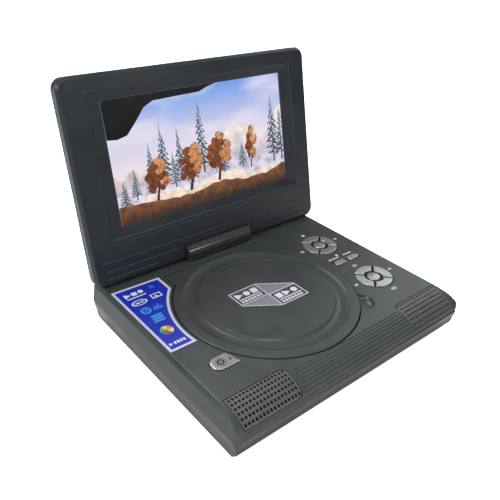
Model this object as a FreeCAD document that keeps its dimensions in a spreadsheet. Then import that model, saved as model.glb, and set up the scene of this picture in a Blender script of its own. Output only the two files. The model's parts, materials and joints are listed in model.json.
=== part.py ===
"""Portable disc player with a swivelling 7 inch screen: every piece as its own solid.

Millimetres.  X runs to the user's right, Y to the rear, Z up.  The base pieces are drawn with
y = 0 at the middle of the base and z = 0 on the underside of the case; the screen pieces are drawn
in the screen's own frame (x, along the screen, towards the viewer) and are tilted by Placement.
"""
import FreeCAD, Part
import Sketcher
import math
import os
import re
from FreeCAD import Placement, Rotation, Vector

doc = FreeCAD.newDocument("PortableDiscPlayer")
sheet = doc.addObject("Spreadsheet::Sheet", "Sizes")

SIZES = [
    # whole player
    ("shift_y", -11.7, "moves the base so that the origin is under the middle of the open player"),
    ("shift_z", 1.3, "height of the rubber feet under the case"),
    ("gap", 0.4, "visible gap round a moving piece"),
    ("door_gap", 0.8, "visible gap round the disc door"),
    ("fit", 0.1, "assembly clearance between fixed pieces"),
    # base shell
    ("deck_z", 31.7, "top of the deck"),
    ("deck_half", 98.5, "half width of the deck"),
    ("rim_half", 103.5, "half width at the widest line of the case"),
    ("rim_z", 19.5, "height of the widest line"),
    ("foot_half", 98.8, "half width of the underside"),
    ("front_y", -85.7, "front of the case"),
    ("slope_y", -64.5, "where the deck starts to roll down to the front"),
    ("rear_y", 84.5, "rear of the case"),
    ("rear_deck_y", 82.0, "rear edge of the deck"),
    ("part_z", 17.5, "parting line at the sides and rear"),
    ("part_front_z", 9.0, "parting line at the front"),
    ("front_cut", 4.5, "corner cut at the front corners"),
    ("rear_cut", 7.0, "corner cut at the rear corners"),
    ("skin", 2.4, "shell thickness"),
    ("cave_half", 96.0, "half width of the hollow"),
    ("cave_front", -81.0, "front of the hollow"),
    ("cave_rear", 80.0, "rear of the hollow"),
    ("floor_z", 2.0, "top of the floor"),
    # disc bay
    ("disc_x", -12.0, "disc centre"),
    ("disc_y", -3.5, "disc centre"),
    ("door_rad", 65.0, "round part of the disc door"),
    ("door_top", 32.5, "top of the disc door"),
    ("door_low", 29.7, "underside of the disc door"),
    ("tab_half", 44.0, "half width of the door's rear tab"),
    ("pin_y", 56.9, "door hinge axis"),
    ("pin_z", 29.5, "door hinge axis"),
    ("knuckle_rad", 3.0, "rounded rear edge of the door"),
    ("pin_rad", 1.0, "door hinge pin"),
    ("trough_in", 47.6, "inner edge of the round trough in the door"),
    ("trough_mid", 51.6, "deepest line of the trough"),
    ("trough_out", 58.4, "outer edge of the trough"),
    ("trough_deep", 1.6, "depth of the trough"),
    ("scoop_x", 37.5, "finger scoop beside the door"),
    ("scoop_y", -47.5, "finger scoop beside the door"),
    ("scoop_rad", 9.4, "radius of the finger scoop"),
    ("scoop_deep", 3.4, "depth of the finger scoop"),
    ("well_rad", 62.5, "inside of the disc well"),
    ("well_z", 21.4, "floor of the disc well"),
    ("well_wall", 1.6, "wall of the disc well"),
    # swivel and tilt hinge
    ("axis_y", 70.7, "swivel axis"),
    ("axis_z", 37.1, "tilt axis"),
    ("barrel_rad", 6.4, "hinge barrel"),
    ("barrel_half", 29.8, "half length of the hinge barrel"),
    ("barrel_low", 32.9, "underside of the barrel"),
    ("plate_rad", 6.3, "swivel plate"),
    ("post_rad", 5.0, "swivel post"),
    ("shaft_rad", 1.2, "tilt shaft"),
    ("run", 0.05, "running clearance of a shaft"),
    # screen
    ("screen_open", 102.75, "angle between the deck and the screen"),
    ("lid_half", 104.5, "half width of the screen"),
    ("lid_low", -4.45, "lower edge below the tilt axis"),
    ("lid_top", 136.9, "upper edge above the tilt axis"),
    ("lid_corner", 8.0, "corner radius of the screen"),
    ("lid_front", 2.1, "front face ahead of the tilt axis"),
    ("lid_split", -2.6, "joint between bezel and rear cover"),
    ("lid_rim", -6.2, "back edge of the rim of the rear cover"),
    ("lid_back", -13.0, "back of the rear cover"),
    ("lcd_half", 77.0, "half width of the picture"),
    ("lcd_low", 34.1, "lower edge of the picture"),
    ("lcd_high", 119.7, "upper edge of the picture"),
    ("frame_half", 87.4, "half width of the sunk frame round the picture"),
    ("notch_half", 30.5, "half width of the notch for the barrel"),
    ("notch_top", 6.9, "top of the notch for the barrel"),
    # keys
    ("ring_x", 70.0, "centre of both key rings"),
    ("ring_rear_y", 25.7, "rear key ring"),
    ("ring_front_y", -31.2, "front key ring"),
    ("ring_out", 14.2, "outer radius of a key ring"),
    ("ring_in", 7.2, "inner radius of a key ring"),
    ("ring_split", 0.75, "half of the slit between two ring keys"),
    ("middle_rad", 5.0, "middle key"),
    ("key_top", 32.5, "top of the keys"),
    ("key_low", 26.4, "underside of the keys"),
    ("pill_y", -2.5, "line of the two long keys"),
    ("pill_half", 2.7, "half width of a long key"),
    ("pill_x", 71.5, "middle of the pair of long keys"),
    ("pill_near", 2.0, "inner end of a long key from the middle of the pair"),
    ("pill_far", 13.0, "outer end of a long key from the middle of the pair"),
    ("pill_round", 2.6, "length of the rounded outer end of a long key"),
    ("pill_corner", 1.0, "corner radius of a long key's hole"),
    # label
    ("label_left", -97.9, "left edge of the printed label"),
    ("label_right", -60.6, "right edge of the printed label"),
    ("label_front", -14.4, "front edge of the printed label"),
    ("label_rear", 61.4, "rear left corner of the printed label"),
    ("label_rear_right", 60.2, "rear right corner of the printed label"),
    ("label_ring", 2.4, "distance between the label and the door"),
    ("label_thick", 0.25, "thickness of the printed label"),
    # speakers
    ("grille_out", 96.0, "outer end of a grille"),
    ("grille_in", 52.0, "inner end of a grille"),
    ("grille_back", -64.6, "rear edge of a grille"),
    ("grille_fore", -83.5, "front edge of a grille"),
    ("roll_rad", 30.0, "radius of the rolled front of the deck"),
    ("line_first", 5.4, "first moulded line ahead of the start of the roll"),
    ("line_pitch", 2.2, "distance between the moulded lines"),
    ("nose_back", 19.4, "where the roll turns down, ahead of its start"),
    ("seam_deep", 0.8, "depth of the shadow line between the shells"),
    ("seam_tall", 0.5, "height of the shadow line below the parting line"),
    # disc drive
    ("rod_rad", 1.5, "guide rod"),
    ("rod_apart", 22.0, "half distance between the guide rods"),
    ("rod_z", 12.6, "height of the guide rods"),
]
for row, (alias, number, note) in enumerate(SIZES, start=1):
    sheet.set("A%d" % row, note)
    sheet.set("B%d" % row, str(number))
    sheet.setAlias("B%d" % row, alias)
doc.recompute()
ALIASES = {alias for alias, number, note in SIZES}


# ---------------------------------------------------------------- helpers
def cells(text):
    """Writes an expression of aliases as an expression on the sheet."""
    return re.sub(r"[a-z]\w*", lambda word: "Sizes." + word.group() if word.group() in ALIASES else word.group(),
                  str(text))


def value(text):
    """Number that an expression of aliases gives now."""
    return float(sheet.evalExpression(cells(text)))


def bind(thing, prop, text):
    thing.setExpression(prop, cells(text))


def finish(thing, label, shift=True):
    """Names a sub-part and puts it in its place in the player."""
    thing.Label = label
    if shift:
        bind(thing, "Placement.Base.y", "shift_y")
        bind(thing, "Placement.Base.z", "shift_z")
    NODES.append(thing)
    return thing


def finish_screen(thing, label):
    """Names a screen sub-part, drawn in the screen's frame, and tilts it about the hinge."""
    thing.Label = label
    thing.Placement = Placement(Vector(0, 0, 0), Rotation(Vector(1, 0, 0), 70))
    bind(thing, "Placement.Rotation.Angle", "180 - screen_open")
    bind(thing, "Placement.Base.y", "axis_y + shift_y")
    bind(thing, "Placement.Base.z", "axis_z + shift_z")
    NODES.append(thing)
    return thing


def place_at(thing, label, x, y, z, turn=0):
    """Names a sub-part drawn round its own axis and puts it at a point of the base."""
    thing.Label = label
    thing.Placement = Placement(Vector(0, 0, 0), Rotation(Vector(0, 0, 1), turn))
    bind(thing, "Placement.Base.x", x)
    bind(thing, "Placement.Base.y", "shift_y + (%s)" % y)
    bind(thing, "Placement.Base.z", "shift_z + (%s)" % z)
    NODES.append(thing)
    return thing


NODES = []


def new_body(name):
    return doc.addObject("PartDesign::Body", name)


def plane_of(body, role):
    return next(item for item in body.Origin.OriginFeatures if item.Role == role)


def new_sketch(body, name, role, offset="0"):
    sketch = body.newObject("Sketcher::SketchObject", name)
    sketch.AttachmentSupport = [(plane_of(body, role), "")]
    sketch.MapMode = "FlatFace"
    if offset != "0":
        bind(sketch, "AttachmentOffset.Base.z", offset)
    return sketch


def turn_about(sketch, x, y):
    """Moves an upright sketch so that its own Z axis stands at (x, y)."""
    sketch.AttachmentOffset = Placement(Vector(value(x), 0, value("-(%s)" % y)), Rotation())
    bind(sketch, "AttachmentOffset.Base.x", x)
    bind(sketch, "AttachmentOffset.Base.z", "-(%s)" % y)


def arc_rad(along, rise):
    """Radius of an arc that starts level and rises so much over such a length."""
    return "(((%s) * (%s) + (%s) * (%s)) / (2 * (%s)))" % (along, along, rise, rise, rise)


def tie(sketch, rules):
    """Adds constraints together and binds their values; a rule is (kind, references..., expression)."""
    first = len(sketch.Constraints)
    sketch.addConstraint([Sketcher.Constraint(*rule[:-1], value(rule[-1])) if rule[-1] is not None
                          else Sketcher.Constraint(*rule[:-1]) for rule in rules])
    for number, rule in enumerate(rules):
        if rule[-1] is not None:
            bind(sketch, "Constraints[%d]" % (first + number), rule[-1])


def at_point(edge, end, x, y):
    """Rules that tie one end of an edge to coordinates given as expressions."""
    return [("DistanceX", -1, 1, edge, end, x), ("DistanceY", -1, 1, edge, end, y)]


def outline(sketch, points):
    """Closed outline.  A point is (x, y), or (x, y, radius) where the edge that leaves it is an arc;
    a negative radius bends the arc to the left of travel."""
    spots = [Vector(value(point[0]), value(point[1]), 0) for point in points]
    shapes = []
    for number, point in enumerate(points):
        start = spots[number]
        stop = spots[(number + 1) % len(points)]
        if len(point) == 2:
            shapes.append(Part.LineSegment(start, stop))
            continue
        radius = value(point[2])
        chord = stop - start
        side = Vector(-chord.y, chord.x, 0).normalize()
        sag = abs(radius) - math.sqrt(radius ** 2 - (chord.Length / 2) ** 2)
        middle = (start + stop) / 2 - side * math.copysign(sag, radius)
        shapes.append(Part.Arc(start, middle, stop))
    first = len(sketch.Geometry)
    sketch.addGeometry(shapes)
    rules = []
    for number, point in enumerate(points):
        following = (number + 1) % len(points)
        head, tail = ends_of(point)
        next_head, next_tail = ends_of(points[following])
        rules += at_point(first + number, head, point[0], point[1])
        rules.append(("Coincident", first + number, tail, first + following, next_head, None))
        if len(point) == 3:
            rules.append(("Radius", first + number, "abs(%s)" % point[2]))
    tie(sketch, rules)
    return sketch


def ends_of(point):
    """Sketcher's numbers for the first and last end of the edge that leaves a point."""
    return (2, 1) if len(point) == 3 and value(point[2]) < 0 else (1, 2)


def circle(sketch, x, y, radius):
    edge = len(sketch.Geometry)
    sketch.addGeometry(Part.Circle(Vector(value(x), value(y), 0), Vector(0, 0, 1), value(radius)))
    tie(sketch, at_point(edge, 3, x, y) + [("Radius", edge, radius)])
    return sketch


def rectangle(sketch, x0, x1, y0, y1):
    return outline(sketch, [(x0, y0), (x1, y0), (x1, y1), (x0, y1)])


def round_box(sketch, x0, x1, y0, y1, rad):
    """Rectangle with four round corners."""
    return outline(sketch, [
        ("%s + %s" % (x0, rad), y0), ("%s - %s" % (x1, rad), y0, rad),
        (x1, "%s + %s" % (y0, rad)), (x1, "%s - %s" % (y1, rad), rad),
        ("%s - %s" % (x1, rad), y1), ("%s + %s" % (x0, rad), y1, rad),
        (x0, "%s - %s" % (y1, rad)), (x0, "%s + %s" % (y0, rad), rad)])


def pad(body, name, sketch, length, both=False, back=False):
    feature = body.newObject("PartDesign::Pad", name)
    feature.Profile = sketch
    bind(feature, "Length", length)
    feature.Midplane = both
    feature.Reversed = back
    return feature


def pocket(body, name, sketch, length, both=False, back=False):
    """Cut along the sketch's normal against it, or with back=True along it."""
    doc.recompute()
    before = body.Shape.Volume
    feature = body.newObject("PartDesign::Pocket", name)
    feature.Profile = sketch
    bind(feature, "Length", length)
    feature.Midplane = both
    feature.Reversed = back
    doc.recompute()
    if body.Shape.Volume > before - 0.01:
        raise RuntimeError("%s cuts nothing" % name)
    return feature


def turned(body, name, sketch, cut=False):
    """Revolves a sketch about its own vertical axis, as a pad or as a groove."""
    kind = "PartDesign::Groove" if cut else "PartDesign::Revolution"
    feature = body.newObject(kind, name)
    feature.Profile = sketch
    feature.ReferenceAxis = (sketch, ["V_Axis"])
    feature.Angle = 360
    return feature


def soften(body, name, size, picks, kind="Fillet"):
    """Fillets or chamfers the edges of the body whose box passes the test."""
    doc.recompute()
    base = body.Tip
    names = ["Edge%d" % (number + 1) for number, edge in enumerate(base.Shape.Edges) if picks(edge)]
    if not names:
        raise RuntimeError("%s finds no edge" % name)
    feature = body.newObject("PartDesign::" + kind, name)
    feature.Base = (base, names)
    bind(feature, "Radius" if kind == "Fillet" else "Size", size)
    doc.recompute()
    return feature


def flat_at(level, slack=0.02):
    """Test for edges that lie in the plane z = level."""
    return lambda edge: abs(edge.BoundBox.ZMin - level) < slack and abs(edge.BoundBox.ZMax - level) < slack


def block(name, x0, x1, y0, y1, z0, z1):
    box = doc.addObject("Part::Box", name)
    bind(box, "Length", "(%s) - (%s)" % (x1, x0))
    bind(box, "Width", "(%s) - (%s)" % (y1, y0))
    bind(box, "Height", "(%s) - (%s)" % (z1, z0))
    bind(box, "Placement.Base.x", x0)
    bind(box, "Placement.Base.y", y0)
    bind(box, "Placement.Base.z", z0)
    return box


TURNS = {"z": Rotation(), "x": Rotation(Vector(0, 1, 0), 90), "y": Rotation(Vector(1, 0, 0), -90)}


def rod(name, radius, x, y, z, length, along="z"):
    """Cylinder that starts at a point and runs along an axis."""
    bar = doc.addObject("Part::Cylinder", name)
    bind(bar, "Radius", radius)
    bind(bar, "Height", length)
    bar.Placement = Placement(Vector(0, 0, 0), TURNS[along])
    bind(bar, "Placement.Base.x", x)
    bind(bar, "Placement.Base.y", y)
    bind(bar, "Placement.Base.z", z)
    return bar


def joined(name, *parts):
    union = doc.addObject("Part::MultiFuse", name)
    union.Shapes = list(parts)
    return union


def separate(name, *parts):
    """Group of separate solids that count as one node."""
    group = doc.addObject("Part::Compound", name)
    group.Links = list(parts)
    return group


def minus(name, base, *tools):
    tool = tools[0] if len(tools) == 1 else joined(name + "_tools", *tools)
    cut = doc.addObject("Part::Cut", name)
    cut.Base = base
    cut.Tool = tool
    return cut


# ---------------------------------------------------------------- base shells
def roll_z(back):
    """Height of the rolled front, back millimetres ahead of the start of the roll."""
    return "deck_z - (roll_rad - sqrt(roll_rad * roll_rad - (%s) * (%s)))" % (back, back)


NOSE_Y = "slope_y - nose_back"
NOSE_TOP = roll_z("nose_back")


def trim_case(body, prefix, inset="0"):
    """Cuts the sloped sides and the corner cuts that both shells share, or the same cuts moved inwards."""
    sides = new_sketch(body, prefix + "_side_slopes", "XZ_Plane")
    for hand in ("", "-"):
        far = "%s(rim_half + 5)" % hand
        outline(sides, [("%s(deck_half - %s)" % (hand, inset), "deck_z + 2"),
                        ("%s(deck_half - %s)" % (hand, inset), "deck_z"),
                        ("%s(deck_half + 2.2 - %s)" % (hand, inset), "deck_z - 2.6"),
                        ("%s(rim_half - %s)" % (hand, inset), "rim_z"), ("%s(foot_half - %s)" % (hand, inset), "0"),
                        ("%s(foot_half - %s)" % (hand, inset), "-2"), (far, "-2"), (far, "deck_z + 2")])
    pocket(body, prefix + "_sides", sides, "200", both=True)
    corners = new_sketch(body, prefix + "_corner_cuts", "XY_Plane", "-5")
    for hand in ("", "-"):
        corner = "%s(rim_half + 1)" % hand
        outline(corners, [(corner, "front_y - 1"), (corner, "front_y + front_cut + 1.4 * %s" % inset),
                          ("%s(rim_half - front_cut * 1.3 - 1.4 * %s)" % (hand, inset), "front_y - 1")])
        outline(corners, [(corner, "rear_y + 1"), (corner, "rear_y - rear_cut - 1.4 * %s" % inset),
                          ("%s(rim_half - rear_cut - 1.4 * %s)" % (hand, inset), "rear_y + 1")])
    pocket(body, prefix + "_corners", corners, "50", back=True)


def port_panel(body, prefix):
    """Flat recess in the right wall that carries the sockets and controls."""
    panel = new_sketch(body, prefix + "_panel_outline", "YZ_Plane", "99.6")
    round_box(panel, "-34", "52", "4.6", "16.2", "2")
    pocket(body, prefix + "_panel", panel, "10", back=True)


POST_SPOTS = [(-89, 66), (89, 66), (-89, -54), (89, -54)]
LOADER_SPOTS = [("disc_x - 36", "disc_y - 52"), ("disc_x + 36", "disc_y - 52"),
                ("disc_x - 36", "disc_y + 24"), ("disc_x + 36", "disc_y + 24")]
BOARD_SPOTS = [(52, -28), (80, -28), (52, 56), (88, 56)]
FOOT_SPOTS = [(-86, 76), (86, 76), (-86, -66), (86, -66)]


def build_bottom_case():
    body = new_body("BottomCase")
    lip = new_sketch(body, "bottom_lip_view", "YZ_Plane")
    outline(lip, [("rear_y - seam_deep", "8"), ("rear_y - seam_deep", "part_z - 0.2"), ("-50", "part_z - 0.2", "44"),
                  ("-76", "part_front_z - 0.2"), ("front_y + 2.5 + seam_deep", "part_front_z - 0.2"),
                  ("front_y + 2.5 + seam_deep", "part_front_z - 1"), ("-70", "part_front_z - 1"), ("-60", "8")])
    pad(body, "bottom_lip", lip, "rim_half * 2", both=True)
    trim_case(body, "bottom_lip", "seam_deep")
    side = new_sketch(body, "bottom_side_view", "YZ_Plane")
    low = "part_z - 0.2 - seam_tall"
    front_low = "part_front_z - 0.2 - seam_tall"
    outline(side, [("rear_y - 1.2", "0"), ("rear_y", low), ("-50", low, "44"), ("-76", front_low),
                   ("front_y + 2.5", front_low), ("front_y + 8.9", "0")])
    pad(body, "bottom_blank", side, "rim_half * 2", both=True)
    trim_case(body, "bottom")
    cave = new_sketch(body, "bottom_hollow_view", "YZ_Plane")
    outline(cave, [("cave_rear", "floor_z"), ("cave_rear", "part_z + 3"), ("cave_front + 1", "part_z + 3"),
                   ("cave_front + 1", "8"), ("cave_front + 6", "floor_z")])
    pocket(body, "bottom_hollow", cave, "cave_half * 2", both=True)
    posts = new_sketch(body, "bottom_post_plan", "XY_Plane", "floor_z")
    for x, y in POST_SPOTS:
        circle(posts, x, y, "4")
    pad(body, "bottom_posts", posts, "8")
    rests = new_sketch(body, "bottom_rest_plan", "XY_Plane", "floor_z")
    for x, y in LOADER_SPOTS:
        circle(rests, x, y, "3.2")
    pad(body, "bottom_loader_rests", rests, "5.9")
    rests = new_sketch(body, "bottom_board_rest_plan", "XY_Plane", "floor_z")
    for x, y in BOARD_SPOTS:
        circle(rests, x, y, "2.8")
    pad(body, "bottom_board_rests", rests, "3.2")
    taps = new_sketch(body, "bottom_tap_plan", "XY_Plane", "9")
    for x, y in LOADER_SPOTS + BOARD_SPOTS:
        circle(taps, x, y, "1.1")
    pocket(body, "bottom_taps", taps, "7.6")
    screws = new_sketch(body, "bottom_screw_plan", "XY_Plane")
    for x, y in POST_SPOTS:
        circle(screws, x, y, "1.65")
    pocket(body, "bottom_screw_holes", screws, "12", back=True)
    heads = new_sketch(body, "bottom_head_plan", "XY_Plane")
    for x, y in POST_SPOTS:
        circle(heads, x, y, "3.1")
    pocket(body, "bottom_head_holes", heads, "3", back=True)
    feet = new_sketch(body, "bottom_foot_plan", "XY_Plane")
    for x, y in FOOT_SPOTS:
        circle(feet, x, y, "5.6")
    pocket(body, "bottom_foot_seats", feet, "0.6", back=True)
    vents = new_sketch(body, "bottom_vent_plan", "XY_Plane")
    for number in range(9):
        x = 30 + number * 5
        round_box(vents, x, x + 2, "14", "42", "0.9")
    pocket(body, "bottom_vents", vents, "3", back=True)
    port_panel(body, "bottom")
    ports = new_sketch(body, "bottom_port_view", "YZ_Plane", "90")
    circle(ports, "44", "10.4", "3.3")
    circle(ports, "31", "10.4", "3.1")
    circle(ports, "19", "10.4", "3.1")
    round_box(ports, "-2", "8", "8.2", "12.6", "0.6")
    round_box(ports, "-27", "-13", "8", "12.8", "0.6")
    pocket(body, "bottom_ports", ports, "15", back=True)
    return finish(body, "bottom_case")


def build_top_case():
    body = new_body("TopCase")
    side = new_sketch(body, "top_side_view", "YZ_Plane")
    outline(side, [("rear_deck_y", "deck_z"), ("slope_y", "deck_z", "roll_rad"), (NOSE_Y, NOSE_TOP, "4.2"),
                   ("front_y + 0.4", "21.4"), ("front_y + 1.1", "20.7"), ("front_y", "19.5"),
                   ("front_y + 0.1", "18.6"), ("front_y + 1.2", "14.6"),
                   ("front_y + 2.4", "13.7"), ("front_y + 2.5", "part_front_z + 0.2"),
                   ("-76", "part_front_z + 0.2", "-44"), ("-50", "part_z + 0.2"), ("rear_y", "part_z + 0.2"),
                   ("rear_y", "rim_z + 3")])
    pad(body, "top_blank", side, "rim_half * 2", both=True)
    trim_case(body, "top")
    cave = new_sketch(body, "top_hollow_view", "YZ_Plane")
    outline(cave, [("cave_rear", "part_z - 12"), ("cave_rear", "deck_z - skin"), ("slope_y", "deck_z - skin"),
                   ("-73", "deck_z - skin - 1.4"), ("-79.4", "deck_z - skin - 4.4"), ("-82", "22"),
                   ("cave_front", "part_z - 12")])
    pocket(body, "top_hollow", cave, "cave_half * 2", both=True)
    well = new_sketch(body, "top_well_plan", "XY_Plane", "deck_z + 1")
    round_part(well, "door_rad + door_gap", "pin_y + knuckle_rad + gap")
    pocket(body, "top_well", well, "6")
    tab = new_sketch(body, "top_tab_plan", "XY_Plane", "deck_z + 1")
    rectangle(tab, "disc_x - tab_half - door_gap", "disc_x + tab_half + door_gap", "disc_y + 20",
              "pin_y + knuckle_rad + gap")
    pocket(body, "top_tab", tab, "6")
    seat = new_sketch(body, "top_swivel_seat_plan", "XY_Plane", "deck_z + 1")
    circle(seat, "0", "axis_y", "plate_rad + 0.3")
    pocket(body, "top_swivel_seat", seat, "2")
    hole = new_sketch(body, "top_swivel_hole_plan", "XY_Plane", "deck_z + 1")
    circle(hole, "0", "axis_y", "post_rad + 0.3")
    pocket(body, "top_swivel_hole", hole, "6")
    keys = new_sketch(body, "top_key_plan", "XY_Plane", "deck_z + 1")
    for ring in ("ring_rear_y", "ring_front_y"):
        circle(keys, "ring_x", ring, "ring_out + 0.5")
    for near, far in (("-1 * pill_far", "-1 * pill_near"), ("pill_near", "pill_far")):
        round_box(keys, "pill_x + (%s) - gap" % near, "pill_x + (%s) + gap" % far, "pill_y - pill_half - gap",
                  "pill_y + pill_half + gap", "pill_corner")
    pocket(body, "top_key_holes", keys, "6")
    opener = new_sketch(body, "top_open_plan", "XY_Plane", "deck_z + 1")
    open_outline(opener, "0.35")
    pocket(body, "top_open_hole", opener, "6")
    grilles = new_sketch(body, "top_grille_plan", "XY_Plane", "deck_z + 1")
    for hand in ("", "-"):
        grille_outline(grilles, hand, "0.5")
    pocket(body, "top_grille_holes", grilles, "12")
    boss = new_sketch(body, "top_scoop_boss_plan", "XY_Plane", "deck_z - 5.4")
    circle(boss, "scoop_x", "scoop_y", "scoop_rad + 1.8")
    pad(body, "top_scoop_boss", boss, "5.5 - skin")
    clear = new_sketch(body, "top_scoop_clear_plan", "XY_Plane", "deck_z - skin")
    circle(clear, "disc_x", "disc_y", "door_rad + door_gap")
    pocket(body, "top_scoop_clear", clear, "4")
    scoop = new_sketch(body, "top_scoop_view", "XZ_Plane")
    turn_about(scoop, "scoop_x", "scoop_y")
    outline(scoop, [("0", "deck_z - scoop_deep"), ("5", "deck_z - scoop_deep", "4.6"),
                    ("scoop_rad", "deck_z + 0.1"), ("scoop_rad", "deck_z + 0.6"), ("0", "deck_z + 0.6")])
    turned(body, "top_scoop", scoop, cut=True)
    lines = new_sketch(body, "top_line_view", "YZ_Plane")
    for number in range(7):
        back = "line_first + line_pitch * %d" % number
        y = "slope_y - (%s)" % back
        outline(lines, [(y + " - 0.35", roll_z(back + " + 0.35") + " - 0.5"),
                        (y + " + 0.35", roll_z(back + " - 0.35") + " - 0.5"),
                        (y + " + 0.35", "deck_z + 1"), (y + " - 0.35", "deck_z + 1")])
    pocket(body, "top_lines", lines, "(grille_in - 2.4) * 2", both=True)
    posts = new_sketch(body, "top_post_plan", "XY_Plane", "10.1")
    for x, y in POST_SPOTS:
        circle(posts, x, y, "4")
    pad(body, "top_posts", posts, "deck_z - skin - 10")
    for hand, side_name in (("+", "right"), ("-", "left")):
        lug = new_sketch(body, "top_lug_%s_view" % side_name, "YZ_Plane", "disc_x %s (tab_half + 0.7)" % hand)
        rectangle(lug, "pin_y - 3", "pin_y + 3", "pin_z - 3", "deck_z - skin + 0.1")
        pad(body, "top_lug_" + side_name, lug, "4", back=hand == "-")
    bores = new_sketch(body, "top_bore_view", "YZ_Plane", "disc_x")
    circle(bores, "pin_y", "pin_z", "pin_rad")
    pocket(body, "top_bores", bores, "(tab_half + 3.2) * 2", both=True)
    drills = new_sketch(body, "top_drill_plan", "XY_Plane", "9")
    for x, y in POST_SPOTS:
        circle(drills, x, y, "1.3")
    pocket(body, "top_drills", drills, "12", back=True)
    soften(body, "top_nose_round", "0.8", lambda edge: edge.BoundBox.ZMax > value("deck_z") - 0.05
           and edge.BoundBox.ZMin > 31 and abs(abs(edge.BoundBox.Center.x) - value("deck_half")) < 0.1
           and edge.BoundBox.YLength > 100)
    return finish(body, "top_case")


def round_part(sketch, rad, rear):
    """Circle round the disc centre, cut off straight along the rear line."""
    half = "sqrt((%s) * (%s) - (%s - disc_y) * (%s - disc_y))" % (rad, rad, rear, rear)
    outline(sketch, [("disc_x - " + half, rear, rad), ("disc_x", "disc_y - (%s)" % rad, rad),
                     ("disc_x + " + half, rear)])


def open_outline(sketch, grow):
    """Outline of the door release key: round at the left, cut slantwise at the right."""
    outline(sketch, [("-82", "-45.2 - %s" % grow), ("-68.6 + %s" % grow, "-45.2 - %s" % grow),
                     ("-71.8 + %s" % grow, "-34.2 + %s" % grow), ("-82", "-34.2 + %s" % grow, "5.7 + " + grow)])


def grille_outline(sketch, hand, grow):
    """Grille outline with cut corners towards the middle of the player."""
    near = "%s(grille_in - %s)" % (hand, grow)
    far = "%s(grille_out + %s)" % (hand, grow)
    inset = "%s(grille_in - %s + 2.5)" % (hand, grow)
    outline(sketch, [(far, "grille_back + %s" % grow), (inset, "grille_back + %s" % grow),
                     (near, "grille_back + %s - 2.5" % grow), (near, "grille_fore - %s + 2.5" % grow),
                     (inset, "grille_fore - %s" % grow), (far, "grille_fore - %s" % grow)])


def build_grille(hand, label):
    """Speaker grille: a curved plate that follows the rolled front, with rows of round holes."""
    body = new_body("Grille" + label.title().replace("_", ""))
    start = "grille_in" if hand == "" else "-grille_out"
    view = new_sketch(body, label + "_view", "YZ_Plane", start)
    outer = "(roll_rad - 0.3)"
    inner = "(roll_rad - 1.9)"
    centre = "deck_z - roll_rad"
    back = "(slope_y - grille_back)"
    fore = "(slope_y - grille_fore)"

    def at(rad, ahead):
        return "%s + sqrt(%s * %s - %s * %s)" % (centre, rad, rad, ahead, ahead)
    outline(view, [("grille_fore", at(inner, fore), "-1 * " + inner), ("grille_back", at(inner, back)),
                   ("grille_back", at(outer, back), outer), ("grille_fore", at(outer, fore))])
    pad(body, label + "_plate", view, "grille_out - grille_in")
    cuts = new_sketch(body, label + "_corner_plan", "XY_Plane", "10")
    near = "%sgrille_in" % hand
    for edge, sign in (("grille_back", "-"), ("grille_fore", "+")):
        outline(cuts, [("%s(grille_in - 1)" % hand, "%s %s -1" % (edge, sign)),
                       ("%s(grille_in + 3.5)" % hand, "%s %s -1" % (edge, sign)),
                       ("%s(grille_in - 1)" % hand, "%s %s 3.5" % (edge, sign))])
    pocket(body, label + "_corners", cuts, "30", back=True)
    rows = new_sketch(body, label + "_hole_plan", "XY_Plane", "10")
    for number in range(6):
        circle(rows, "%s(grille_in + 2.4)" % hand, "grille_back - 1.7 - %s" % (number * 3.05), "0.95")
    holes = pocket(body, label + "_holes", rows, "30", back=True)
    repeat = body.newObject("PartDesign::LinearPattern", label + "_hole_rows")
    repeat.Originals = [holes]
    repeat.Direction = (plane_of(body, "X_Axis"), [""])
    repeat.Reversed = hand == "-"
    bind(repeat, "Length", "grille_out - grille_in - 4.4")
    repeat.Occurrences = 16
    body.Tip = repeat
    return finish(body, label)


def build_label():
    body = new_body("LabelSticker")
    plan = new_sketch(body, "label_plan", "XY_Plane", "deck_z")
    ring = "(door_rad + label_ring)"
    upper = "disc_y + sqrt(%s * %s - (disc_x - label_right) * (disc_x - label_right))" % (ring, ring)
    lower = "disc_x - sqrt(%s * %s - (disc_y - label_front) * (disc_y - label_front))" % (ring, ring)
    outline(plan, [("label_left", "label_front"), (lower, "label_front", "-1 * " + ring), ("label_right", upper),
                   ("label_right", "label_rear_right"), ("label_left", "label_rear")])
    pad(body, "label_film", plan, "label_thick")
    return finish(body, "label_sticker")


# ---------------------------------------------------------------- disc bay
def build_disc_well():
    body = new_body("DiscWell")
    view = new_sketch(body, "well_view", "XZ_Plane")
    turn_about(view, "disc_x", "disc_y")
    outline(view, [("17", "well_z - 1.4"), ("well_rad + well_wall", "well_z - 1.4"),
                   ("well_rad + well_wall", "deck_z - skin - fit"), ("well_rad", "deck_z - skin - fit"),
                   ("well_rad", "well_z + 1.6"), ("well_rad - 4", "well_z + 1.2"), ("well_rad - 5", "well_z"),
                   ("17", "well_z")])
    turned(body, "well_cup", view)
    slot = new_sketch(body, "well_slot_plan", "XY_Plane", "well_z + 2")
    rectangle(slot, "disc_x - 11", "disc_x + 11", "disc_y - 61.6", "disc_y - 14")
    pocket(body, "well_slot", slot, "5")
    relief = new_sketch(body, "well_relief_plan", "XY_Plane", "25.6")
    rectangle(relief, "disc_x - 50", "disc_x + 50", "pin_y - 4", "pin_y + 12")
    pocket(body, "well_relief", relief, "10", back=True)
    window = new_sketch(body, "well_window_plan", "XY_Plane", "23.6")
    outline(window, [("disc_x - 48.3", "disc_y - 34"), ("disc_x - 51.7", "disc_y - 28.6"),
                     ("disc_x - 58.5", "disc_y - 32.8"), ("disc_x - 55.1", "disc_y - 38.2")])
    pocket(body, "well_window", window, "3.8", back=True)
    return finish(body, "disc_well")


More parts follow.
